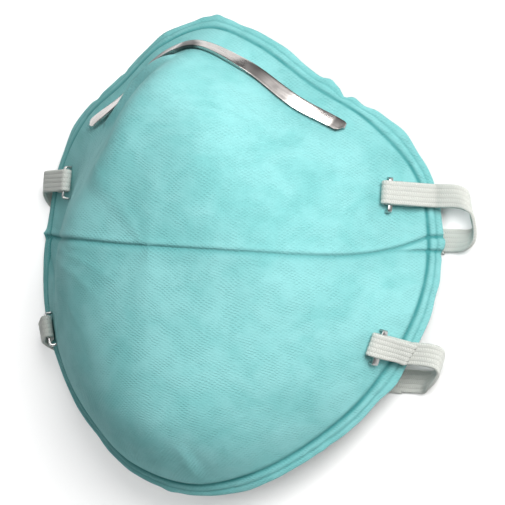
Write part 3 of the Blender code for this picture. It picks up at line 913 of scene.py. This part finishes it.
def ring_shares(form, shares, ends, count):
    """Shares of the way in, evenly spaced along the dome's surface and closer beside the seam."""
    fine = np.linspace(0, 1, 241)
    some = shares[::20]
    travelled = np.zeros(len(fine))
    last = None
    for k, inward in enumerate(fine):
        spots = dome_places(form, some, ends, inward)
        points = np.column_stack((spots, form.height(spots[:, 0], spots[:, 1])))
        if last is not None:
            travelled[k] = travelled[k - 1] + np.linalg.norm(points - last, axis=1).mean()
        last = points
    travelled += CLOSER_RINGS * (1 - np.exp(-travelled / CLOSER_REACH))
    return np.interp(np.linspace(0, travelled[-1], count + 1), travelled, fine)


class CupRings:
    """Rings of the cup's skin, from the dome's top out over the flange and back along the inside."""

    def __init__(self, form):
        self.form = form
        self.columns, self.ends = cup_columns(form)
        self.points, self.flats, self.pressed, self.stretched = [], [], [], []
        self.travelled = np.zeros(len(self.columns))
        self.edge, self.seam = form.edge(self.columns), form.seam(self.columns)
        self.outward = form.outward(self.columns)
        self.shift = flange_shift(form, self.columns)
        self.tuck = crease_on_flange(self.seam)
        fall = np.cross(np.roll(self.edge, -1, 0) - np.roll(self.edge, 1, 0), self.seam - self.edge)
        fall[0] = fall[-1] = fall[1]
        fall = unit(fall)
        self.fall = fall * np.sign(fall[:, 2])[:, None]
        beside = self.seam[:, :2] + (POLE - self.seam[:, :2]) * 0.01
        self.seam_lean = unit(self.fall + form.dome_normal(beside[:, 0], beside[:, 1]))

    def add(self, points, plain, travelled, pressed=0.0, stretched=0.0):
        """Adds one ring, with the flat places that its cloth is read from."""
        middle = plain[:, :2] - POLE
        size = np.hypot(*middle.T) + 1e-9
        spread = FLAT_IN_PLAN * size + FLAT_ALONG * travelled
        self.points.append(points)
        self.flats.append(middle / size[:, None] * spread[:, None])
        self.pressed.append(np.full(len(points), pressed))
        self.stretched.append(np.full(len(points), stretched))

    def dome_ring(self, inward):
        """Places in plan, distance from the seam, plain points, normals and relief of one ring."""
        spots = dome_places(self.form, self.columns, self.ends, inward)
        from_seam = np.hypot(*(self.seam[:, :2] - spots).T)
        return spots[:, 0], spots[:, 1], from_seam, *self.form.dome(spots[:, 0], spots[:, 1])

    def flange_ring(self, share):
        """Plain points of the flange at a share of the way out, with its kinks and waves."""
        out, up = self.shift
        plain = self.seam + (self.edge - self.seam) * share
        plain += self.outward * (out * share ** 1.5)[:, None]
        plain[:, 2] += up * share ** 1.5
        return plain

    def add_dome(self):
        before = None
        for inward in ring_shares(self.form, self.columns, self.ends, DOME_RINGS)[::-1]:
            x, y, from_seam, plain, normal, relief = self.dome_ring(inward)
            lean = leaned(self.seam_lean, normal, eased(from_seam, 0, OUTER_TURN))
            done = plain + lean * relief[:, None]
            if inward == 1:
                plain[:], done[:] = plain.mean(0), done.mean(0)
            if before is not None:
                self.travelled = self.travelled + np.linalg.norm(plain - before, axis=1)
            before = plain
            line = hump(self.form.from_seam(x, y)[1], 0, SEAM_LINE)
            x, y = x / MM, y / MM
            # Painted shade in the crease and in the folds' hollows
            deep = -crease_relief(x, y) * CREASE_SHADE - 0.10
            deep -= np.minimum(marks_relief(x, y, FOLDS), 0) * FOLD_SHADE
            # Darker welded seam, with painted shade in its groove
            pressed = np.clip(deep, 0, 1) + SEAM_TONE_AND_SHADE * line
            stretched = np.zeros(len(x))
            for strength, across, forward, wide, long in STRETCHED_PATCHES:
                stretched += strength * hump(x, across, wide) * hump(y, forward, long)
            self.add(done, plain, self.travelled, pressed, np.clip(stretched, 0, 1))

    def add_flange(self):
        width = self.form.cup.flange_width
        for k in range(1, FLANGE_RINGS + 1):
            share = k / FLANGE_RINGS
            plain = self.flange_ring(share)
            relief = flange_relief(self.form, self.columns, share) + self.tuck * MM
            lean = leaned(self.seam_lean, self.fall, eased(share, 0, FLANGE_TURN))
            done = plain + lean * pressed_in(relief, DEEPEST[0])[:, None]
            self.travelled = self.travelled + width / FLANGE_RINGS
            # Darker weld line on the flange and at the seam, with painted shade in their grooves
            strength, place, half_width = FLANGE_LINE_TONE_AND_SHADE
            line = strength * hump(share, place, half_width)
            line += SEAM_TONE_AND_SHADE * hump(share * width, 0, SEAM_LINE)
            # Painted shade in the tuck's groove, plus the darker flange
            pressed = np.clip(-self.tuck * TUCK_SHADE, 0, 1) + line + DEEP_FLANGE
            self.add(done, plain, self.travelled, pressed)
        self.add_rim(plain, done)

    def add_rim(self, plain, done):
        wall = self.form.cup.flange_wall
        for k in range(1, RIM_RINGS + 1):
            share = k / RIM_RINGS
            bulge = RIM_BULGE * math.sin(math.pi * share)
            points = done - self.fall * wall * share + self.outward * bulge
            self.add(points, plain, self.travelled + wall * share)

    def add_inside(self):
        cup = self.form.cup
        for share in UNDER_FLANGE:
            plain = self.flange_ring(share)
            wall = cup.flange_wall - TUCK_INSIDE * self.tuck * MM
            self.add(plain - self.fall * wall[:, None], plain, self.travelled)
        for inward in ring_shares(self.form, self.columns, self.ends, INNER_RINGS)[1:]:
            _, _, from_seam, plain, normal, relief = self.dome_ring(inward)
            if inward == 1:
                plain[:], normal[:] = plain.mean(0), (0, 0, 1)
            lean = leaned(self.fall, normal, eased(from_seam, 0, INNER_TURN))
            wall = cup.flange_wall + (cup.wall - cup.flange_wall) * eased(from_seam, 0, WALL_GROWS)
            soft = SOFTER_INSIDE * np.clip(relief, -MM, MM)
            self.add(plain + lean * (soft - wall)[:, None], plain, self.travelled)


def build_cup(context):
    cup = context.scene.cup_settings
    form = CupForm(cup, context.scene.strap_settings.thickness)
    rings = CupRings(form)
    rings.add_dome()
    rings.add_flange()
    inner_start = len(rings.points) - 1
    rings.add_inside()
    count = len(rings.columns)
    points = form.world(np.concatenate(rings.points)).tolist()
    flats = np.concatenate(rings.flats).tolist()
    mesh, work, order = mapped_grid("cup_shell", count, len(rings.points), points, flats)
    # Painted shade of creases, folds and grooves with the weld tone, and the paler stretched patches, kept
    # on the points
    for name, values in (("pressed", rings.pressed), ("stretched", rings.stretched)):
        layer = work.verts.layers.float.new(name)
        values = np.concatenate(values).tolist()
        for vertex in work.verts:
            vertex[layer] = values[vertex[order]]
    for face in work.faces:
        row = min(vertex[order] // count for vertex in face.verts)
        face.material_index = 1 if row >= inner_start else 0
    finish_mesh(mesh, work, CUP_MERGE)
    outer = nonwoven(
        cup, "teal nonwoven", shaded(cup.outer_colour), shaded(cup.outer_pale), shaded(cup.outer_deep),
    )
    lining = cup.inner_colour
    inner = nonwoven(cup, "pale lining", shaded(lining), shaded(lining, 1.08), shaded(lining, 0.72))
    shell = new_piece("cup_shell", mesh, "teal_nonwoven", outer, inner)
    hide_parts("shell")


# Nose clip

# Look of the clip: its twist and lean, then stretches of painted dark reflection as place and half length
CLIP_TWIST = 0.22 * MM
CLIP_TWISTS = 7.5
CLIP_LEAN = 0.35 * MM
CLIP_DARK_REFLECTIONS = ((30.5 * MM, 9.0 * MM), (-2.0 * MM, 4.5 * MM), (-22.0 * MM, 13.0 * MM), (55.0 * MM, 2.0 * MM))
CLIP_BENDS_FROM, CLIP_BENDS_TO = 0.05, 0.35
CLIP_CROWN = 0.10 * MM
CLIP_ROUNDING = 0.16 * MM
CLIP_END_SHARE = 0.46
CLIP_STEPS, CLIP_ROWS = 150, 9
CLIP_MERGE = 0.01 * MM
LEVEL_STEPS = 13


def build_clip(context):
    clip = context.scene.clip_settings
    form = CupForm(context.scene.cup_settings, context.scene.strap_settings.thickness)
    middle = np.linspace(-1, 1, CLIP_STEPS + 1)
    arm = clip.end_share * form.girth / 2
    from_end = (1 - np.abs(middle)) * arm
    rounding = clip.width * CLIP_END_SHARE
    taper = np.sqrt(np.clip(1 - (1 - np.clip(from_end / rounding, 0, 1)) ** 2, 0, 1))
    around = np.mod(middle * clip.end_share / 2, 1)
    inset = clip.inset + (clip.end_inset - clip.inset) * middle ** 2
    reach = form.reach(around)
    spots = form.at_share(around, inset / reach)
    level = form.dome_normal(spots[:, 0], spots[:, 1])[:, 2]
    level = np.pad(level, LEVEL_STEPS // 2, mode="edge")
    level = np.convolve(level, np.ones(LEVEL_STEPS) / LEVEL_STEPS, mode="valid")
    points, flats = [], []
    for share in np.linspace(-1, 1, CLIP_ROWS):
        across = share * taper * clip.width / 2
        spots = form.at_share(around, (inset + across * level) / reach)
        plain, normal, relief = form.dome(spots[:, 0], spots[:, 1], roll=False)
        lift = GAP + clip.thickness / 2 + np.maximum(relief, 0)
        lift += CLIP_CROWN * (1 - share * share)
        lift += share * CLIP_TWIST * np.sin(CLIP_TWISTS * middle + 0.6) + CLIP_TWIST
        lift += (1 + share) * CLIP_LEAN * eased(-middle, CLIP_BENDS_FROM, CLIP_BENDS_TO)
        points.append(plain + normal * lift[:, None])
        flats.append(np.column_stack((middle * arm, across)))
    points = form.world(np.concatenate(points)).tolist()
    flats = np.concatenate(flats).tolist()
    mesh, work, _ = mapped_grid("bent_nose_clip", len(middle), CLIP_ROWS, points, flats)
    finish_mesh(mesh, work, CLIP_MERGE)
    metal = worked_metal("bent aluminium", clip.metal, 0.20, 2600.0, 150.0, CLIP_DARK_REFLECTIONS)
    made = new_piece("bent_nose_clip", mesh, "clip_aluminium", metal)
    upwards(mesh)
    thicken(made, clip.thickness, CLIP_ROUNDING)
    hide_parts("nose_clip")


# Straps and staples

MERGE = 0.004 * MM
RUN_STEPS = 24
STRAP_STEP = STRAP_ROUNDING = 0.42 * MM
RIB_DEPTH = 0.08 * MM
STAPLE_BEND = 0.7 * MM
STAPLE_FOOT, STAPLE_LEG = 0.12 * MM, 0.5 * MM
STAPLE_FLAT = (-0.7, -0.35, 0.0, 0.35, 0.7)
WIRE_ROWS = (-0.5, 0.0, 0.5)
WIRE_ROUNDING = 0.14 * MM


def staple_place(row, cup):
    return Vector((row["side"] * row["staple_across"] * cup.half_width, row["line"] * cup.half_length, 0))


class Seat:
    """Finds the cup's outer surface under a place in plan."""

    def __init__(self, context):
        shell = bpy.data.objects.get("cup_shell")
        if shell is None:
            raise RuntimeError("the cup is built before what lies on it")
        self.tree = BVHTree.FromObject(shell, context.evaluated_depsgraph_get())
        self.straps = context.scene.strap_settings
        self.form = CupForm(context.scene.cup_settings, self.straps.thickness)
        self.tail_lift = GAP + self.straps.thickness / 2
        wire = context.scene.staple_settings.wire_thickness
        self.staple_lift = GAP + self.straps.thickness + GAP + wire / 2
        self.cover_lift = self.staple_lift + wire / 2 + GAP + self.straps.thickness / 2

    def at(self, x, y, lift):
        middle = self.form.middle
        start = Vector((x + middle[0], y + middle[1], 0.2))
        hit, normal, _, _ = self.tree.ray_cast(start, Vector((0, 0, -1)))
        if hit is None:
            raise RuntimeError(f"nothing under the place {x:.4f}, {y:.4f}")
        return hit + normal * lift

    def band(self, place, across, lift):
        half = self.straps.width / 2
        middle, upper, lower = (
            self.at(place.x + across.x * half * share, place.y + across.y * half * share, lift)
            for share in (0, 1, -1)
        )
        middle.z = max(middle.z, (upper.z + lower.z) / 2)
        return middle, (upper - lower).normalized()

    def edge_point(self, around):
        return Vector(self.form.edge(np.array([around]))[0])

    def edge_beyond(self, side, start, heading):
        """Point of the flange's edge that a line in plan crosses on its way out."""
        near, far = 0.0, 0.5
        while far - near > 1e-6:
            middle = (near + far) / 2
            point = self.edge_point(middle)
            across, forward = point.x - side * start.x, point.y - start.y
            if math.cos(heading) * forward + math.sin(heading) * across > 0:
                near = middle
            else:
                far = middle
        point = self.edge_point(near)
        return Vector((side * point.x, point.y, point.z))

    def placed(self, point):
        return point + Vector((*self.form.middle, 0))


def end_directions(row):
    heading = math.radians(row["heading"])
    outward = Vector((row["side"] * math.cos(heading), -math.sin(heading), 0))
    across = Vector((row["side"] * math.sin(heading), math.cos(heading), 0))
    return outward, across


def strap_end(seat, staples, row):
    """Stations from the tail, round the fold, over the flange's edge and back under it."""
    side = row["side"]
    straps, cup = seat.straps, seat.form.cup
    outward, flat = end_directions(row)
    fold = staple_place(row, cup) - outward * staples.from_fold
    edge = seat.edge_beyond(side, fold, math.radians(row["heading"]))
    stations = []

    def seated(distance, lift):
        stations.append(seat.band(fold + outward * distance, flat, lift))

    turn = (seat.cover_lift - seat.tail_lift) / 2
    for share in (1.0, 0.5, 0.1):
        seated(straps.tail * share, seat.tail_lift)
    for step in range(1, 6):
        angle = math.pi * step / 6
        seated(-turn * math.sin(angle), seat.tail_lift + turn * (1 - math.cos(angle)))
    for share in row["lies"]:
        seated(straps.tail * share, seat.cover_lift)
    leave = edge + Vector((0, 0, row["lift"] + seat.tail_lift))
    clear, level = stations[-1]
    for share in row["hangs"]:
        stations.append((clear.lerp(seat.placed(leave), share), level.lerp(flat, share ** 2).normalized()))
    stations.append((seat.placed(leave), flat))
    floor = straps.thickness / 2
    back = row["return_line"] * cup.half_length - edge.y
    for step in row["loop"]:
        station = dict(zip(LOOP_COLUMNS, step))
        forward = edge.y + back * station["back"]
        beside = seat.edge_beyond(side, Vector((0, forward, 0)), 0)
        place = Vector((
            beside.x + side * row["reach"] * station["out"],
            forward,
            floor + (leave.z - floor) * station["rise"],
        ))
        tip, lean = math.radians(station["tip"]), math.radians(station["lean"])
        down = Vector((-side * math.sin(lean), 0, -math.cos(lean)))
        level = flat.lerp(Vector((0, 1, 0)), station["back"])
        stations.append((seat.placed(place), level * math.cos(tip) + down * math.sin(tip)))
    under = seat.edge_beyond(side, Vector((0, row["return_line"] * cup.half_length, 0)), 0)
    for inboard in (0.5, 1.5):
        run = Vector((under.x - side * inboard * straps.width, under.y, floor))
        stations.append((seat.placed(run), Vector((0, 1, 0))))
    return stations


def between(stations, i, share):
    last = len(stations) - 1
    spread = []
    for k in range(2):
        p0, p1 = stations[max(i - 1, 0)][k], stations[i][k]
        p2, p3 = stations[i + 1][k], stations[min(i + 2, last)][k]
        s2, s3 = share * share, share * share * share
        spread.append(
            p1 + (p2 - p0) * 0.5 * share
            + (p0 - p1 * 2.5 + p2 * 2 - p3 * 0.5) * s2
            + (p3 - p0 + (p1 - p2) * 3) * 0.5 * s3
        )
    return spread


def strap_path(stations, straps):
    """Close stations along the strap, each a place and the direction across it."""
    middle = len(stations) // 2 - 1
    path = []
    for i in range(len(stations) - 1):
        size = (stations[i + 1][0] - stations[i][0]).length
        steps = RUN_STEPS if i == middle else max(3, math.ceil(size / STRAP_STEP))
        for step in range(steps):
            share = step / steps
            if i == middle:
                path.append([near.lerp(far, share) for near, far in zip(stations[i], stations[i + 1])])
            else:
                path.append(between(stations, i, share))
    path.append(stations[-1])
    laid = []
    for place, across in path:
        across = across.normalized()
        lowest = (straps.thickness + abs(across.z) * straps.width) / 2
        laid.append((Vector((place.x, place.y, max(place.z, lowest))), across))
    return laid


def strap_section(straps):
    """Rounded flat section with shallow ribs, as shares of the width and heights."""
    count = 6 * straps.ribs
    shares = [(1, k / count) for k in range(count + 1)] + [(-1, 1 - k / count) for k in range(1, count)]
    section = []
    for side, share in shares:
        edge = min(share, 1 - share) * straps.width
        round_off = math.sqrt(max(0, 1 - max(0, 1 - edge / STRAP_ROUNDING) ** 2))
        rib = 0.5 - 0.5 * math.cos(2 * math.pi * straps.ribs * share)
        height = (straps.thickness / 2 - RIB_DEPTH * (1 - rib)) * round_off
        section.append((share - 0.5, side * height))
    return section + section[:1]


def build_strap(context, seat, name, ends, webbing):
    staples = context.scene.staple_settings
    left, right = (strap_end(seat, staples, end) for end in ends)
    path = strap_path(left + list(reversed(right)), seat.straps)
    section = strap_section(seat.straps)
    travelled, points, flats = 0.0, [], []
    for k, (place, across) in enumerate(path):
        ahead = path[min(k + 1, len(path) - 1)][0] - path[max(k - 1, 0)][0]
        if k:
            travelled += (place - path[k - 1][0]).length
        up = across.cross(ahead).normalized()
        for share, height in section:
            points.append(place + across * share * seat.straps.width + up * height)
            flats.append(((share + 0.5) * seat.straps.width, travelled))
    mesh, work, _ = mapped_grid(name, len(section), len(path), points, flats)
    bmesh.ops.remove_doubles(work, verts=work.verts, dist=MERGE)
    bmesh.ops.holes_fill(work, edges=[edge for edge in work.edges if edge.is_boundary], sides=0)
    finish_mesh(mesh, work, MERGE)
    strap = new_piece(f"{name}_webbing", mesh, "white_elastic", webbing)
    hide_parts(name)


def build_straps(context):
    seat = Seat(context)
    webbing = elastic_webbing(seat.straps)
    for name, ends in STRAP_ENDS.items():
        build_strap(context, seat, name, ends, webbing)


def staple_route(staples, lift):
    """Along and up places of the wire, from foot to foot, with rounded shoulders."""
    half = (staples.span - staples.wire_thickness) / 2
    bend = STAPLE_BEND
    turns = [math.pi / 2 * k / 5 for k in range(6)]
    left = [(-half, STAPLE_FOOT), (-half, STAPLE_LEG)]
    left += [
        (-half + bend - bend * math.cos(turn), lift - bend + bend * math.sin(turn)) for turn in turns
    ]
    flat = [(share * (half - bend), lift) for share in STAPLE_FLAT]
    return left + flat + [(-along, up) for along, up in reversed(left)]


def build_staples(context):
    seat = Seat(context)
    staples = context.scene.staple_settings
    steel = worked_metal("staple steel", staples.steel, 0.30, 3200.0, 420.0)
    route = staple_route(staples, seat.staple_lift)
    for name, ends in STRAP_ENDS.items():
        for row in ends:
            outward, across = end_directions(row)
            middle = staple_place(row, seat.form.cup) - across * staples.shift
            points, flats = [], []
            for wide in WIRE_ROWS:
                for along, lift in route:
                    spot = middle + across * along + outward * wide * staples.wire_width
                    points.append(seat.at(spot.x, spot.y, lift))
                    flats.append((along, wide * staples.wire_width))
            wearer_side = "left" if row["side"] > 0 else "right"
            node = f"staple_{name.replace('strap', wearer_side)}"
            mesh, work, _ = mapped_grid(f"{node}_wire", len(route), len(WIRE_ROWS), points, flats)
            finish_mesh(mesh, work, MERGE)
            made = new_piece(f"{node}_wire", mesh, "staple_steel", steel)
            thicken(made, staples.wire_thickness, WIRE_ROUNDING)
            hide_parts(node)
# Stage

PHOTO_SIDE = 505
PIXELS_PER_MM = 3.61
PHOTO_MIDDLE = (235.2, 259.4)
EDGE_MIDDLE_HEIGHT = 2.1 * MM

# Lights: name, direction, distance, size, share of the key light's power, tint
LIGHTS = (
    ("key softbox", (0.66, 0.40, 0.85), 0.95, 0.50, 1.0, (1.0, 0.985, 0.975)),
    ("overhead softbox", (-0.15, 0.15, 1.0), 1.2, 0.6, 0.13, (0.97, 0.99, 1.0)),
    ("floor wash", (-0.45, -0.25, 1.0), 1.1, 1.2, 0.70, (1.0, 1.0, 1.0)),
)
BRIGHT_WAY = (0.62, 0.30, 0.72)
DIM_TINT, BRIGHT_TINT = (0.34, 0.42, 0.44, 1), (1.0, 1.0, 1.0, 1)


def build_stage(context):
    stage = context.scene.stage_settings
    place_camera(context, stage)
    floor = pale_floor(context, stage)
    for name, way, distance, size, share, tint in LIGHTS:
        light = add_light(context, name, way, distance, size, stage.key_power * share, tint)
        if name == "floor wash":
            lit = bpy.data.collections.new("lit by the floor wash")
            lit.objects.link(floor)
            light.light_linking.receiver_collection = lit
    context.scene.world = even_light(stage)
    context.scene.view_settings.view_transform = "Standard"


def place_camera(context, stage):
    """Camera of the photo: turned to the wearer's left, tilted toward the chin and rolled."""
    cup = context.scene.cup_settings
    middle = Vector(((SHELL_LOW.x + SHELL_HIGH.x) / 2, SHELL_HIGH.y - cup.half_length, EDGE_MIDDLE_HEIGHT))
    sin_a, cos_a = math.sin(stage.turn), math.cos(stage.turn)
    sin_b, cos_b = math.sin(stage.tilt), math.cos(stage.tilt)
    toward = Vector((sin_a * cos_b, -sin_b, cos_a * cos_b))
    level = Vector((cos_a, 0, -sin_a))
    upright = Vector((sin_a * sin_b, cos_b, cos_a * sin_b))
    right = level * math.cos(stage.roll) + upright * math.sin(stage.roll)
    up = upright * math.cos(stage.roll) - level * math.sin(stage.roll)
    data = bpy.data.cameras.new("photo camera")
    camera = bpy.data.objects.new("photo camera", data)
    context.scene.collection.objects.link(camera)
    turned = Matrix((right, up, toward)).transposed().to_4x4()
    camera.matrix_world = Matrix.Translation(middle + toward * stage.distance) @ turned
    data.sensor_width = 36
    data.lens = PIXELS_PER_MM / MM * stage.distance / PHOTO_SIDE * data.sensor_width
    data.shift_x = (PHOTO_SIDE / 2 - PHOTO_MIDDLE[0]) / PHOTO_SIDE
    data.shift_y = (PHOTO_MIDDLE[1] - PHOTO_SIDE / 2) / PHOTO_SIDE
    data.clip_start = 0.01
    context.scene.camera = camera


def even_light(stage):
    """World that is a little brighter on the key light's side."""
    world = bpy.data.worlds.new("studio")
    world.use_nodes = True
    nodes = Nodes(world.node_tree)
    around = nodes.add("ShaderNodeTexCoord").outputs["Generated"]
    spread = nodes.ramp(nodes.vector("DOT_PRODUCT", around, BRIGHT_WAY), -0.5, 0.9, kind="LINEAR")
    nodes.feed(nodes.tree.nodes["Background"], {
        "Color": nodes.blend(spread, DIM_TINT, BRIGHT_TINT), "Strength": stage.fill,
    })
    return world


def pale_floor(context, stage):
    mesh = bpy.data.meshes.new("pale_floor")
    work = bmesh.new()
    bmesh.ops.create_grid(work, x_segments=1, y_segments=1, size=3)
    work.to_mesh(mesh)
    work.free()
    floor = bpy.data.objects.new("pale_floor", mesh)
    context.scene.collection.objects.link(floor)
    looks = Looks("pale floor")
    place = looks.add("ShaderNodeTexCoord").outputs["Object"]
    tone = looks.noise(place, 14.0, 3.0)
    looks.feed(looks.shader, {
        "Base Color": looks.blend(
            looks.ramp(tone, 0.3, 0.7), shaded(stage.floor_colour), shaded(stage.floor_colour, 1.03),
        ),
        "Roughness": 0.8, "Specular IOR Level": 0.2,
    })
    mesh.materials.append(looks.material)
    return floor


def add_light(context, name, direction, distance, size, power, tint):
    data = bpy.data.lights.new(name, "AREA")
    data.energy = power
    data.size = size
    data.color = tint
    light = bpy.data.objects.new(name, data)
    context.scene.collection.objects.link(light)
    way = Vector(direction).normalized()
    light.location = way * distance
    light.rotation_euler = way.to_track_quat("Z", "Y").to_euler()
    return light


# Add-on


class RESPIRATOR_OT_cup(bpy.types.Operator):
    """Add the moulded cup with its welded flange, crease and folds"""

    bl_idname = "respirator.cup"
    bl_label = "Cup"

    def execute(self, context):
        build_cup(context)
        return {"FINISHED"}


class RESPIRATOR_OT_clip(bpy.types.Operator):
    """Add the bent nose clip"""

    bl_idname = "respirator.clip"
    bl_label = "Nose clip"

    def execute(self, context):
        build_clip(context)
        return {"FINISHED"}


class RESPIRATOR_OT_straps(bpy.types.Operator):
    """Add both elastic head straps, folded back behind the cup"""

    bl_idname = "respirator.straps"
    bl_label = "Head straps"

    def execute(self, context):
        build_straps(context)
        return {"FINISHED"}


class RESPIRATOR_OT_staples(bpy.types.Operator):
    """Add the four staples that hold the straps"""

    bl_idname = "respirator.staples"
    bl_label = "Staples"

    def execute(self, context):
        build_staples(context)
        return {"FINISHED"}


class RESPIRATOR_OT_stage(bpy.types.Operator):
    """Add the pale floor, the soft lights and the camera"""

    bl_idname = "respirator.stage"
    bl_label = "Stage"

    def execute(self, context):
        build_stage(context)
        return {"FINISHED"}


class RESPIRATOR_PT_panel(bpy.types.Panel):
    bl_idname = "RESPIRATOR_PT_panel"
    bl_label = "Cup respirator"
    bl_space_type = "VIEW_3D"
    bl_region_type = "UI"
    bl_category = "Respirator"

    def draw(self, context):
        for operator, group in STEPS:
            box = self.layout.box()
            box.operator(operator)
            settings = getattr(context.scene, group)
            for name in settings.__annotations__:
                box.prop(settings, name)


STEPS = (
    ("respirator.cup", "cup_settings"),
    ("respirator.clip", "clip_settings"),
    ("respirator.straps", "strap_settings"),
    ("respirator.staples", "staple_settings"),
    ("respirator.stage", "stage_settings"),
)
GROUPS = {
    "cup_settings": CupSettings,
    "clip_settings": ClipSettings,
    "strap_settings": StrapSettings,
    "staple_settings": StapleSettings,
    "stage_settings": StageSettings,
}
CLASSES = (
    *GROUPS.values(),
    RESPIRATOR_OT_cup,
    RESPIRATOR_OT_clip,
    RESPIRATOR_OT_straps,
    RESPIRATOR_OT_staples,
    RESPIRATOR_OT_stage,
    RESPIRATOR_PT_panel,
)


def register():
    for made in CLASSES:
        bpy.utils.register_class(made)
    for name, group in GROUPS.items():
        setattr(bpy.types.Scene, name, bpy.props.PointerProperty(type=group))


def unregister():
    for name in GROUPS:
        delattr(bpy.types.Scene, name)
    for made in reversed(CLASSES):
        bpy.utils.unregister_class(made)


def main():
    register()
    bpy.ops.respirator.cup()
    bpy.ops.respirator.clip()
    bpy.ops.respirator.straps()
    bpy.ops.respirator.staples()
    bpy.ops.respirator.stage()
    bpy.context.view_layer.update()


if __name__ == "__main__":
    main()
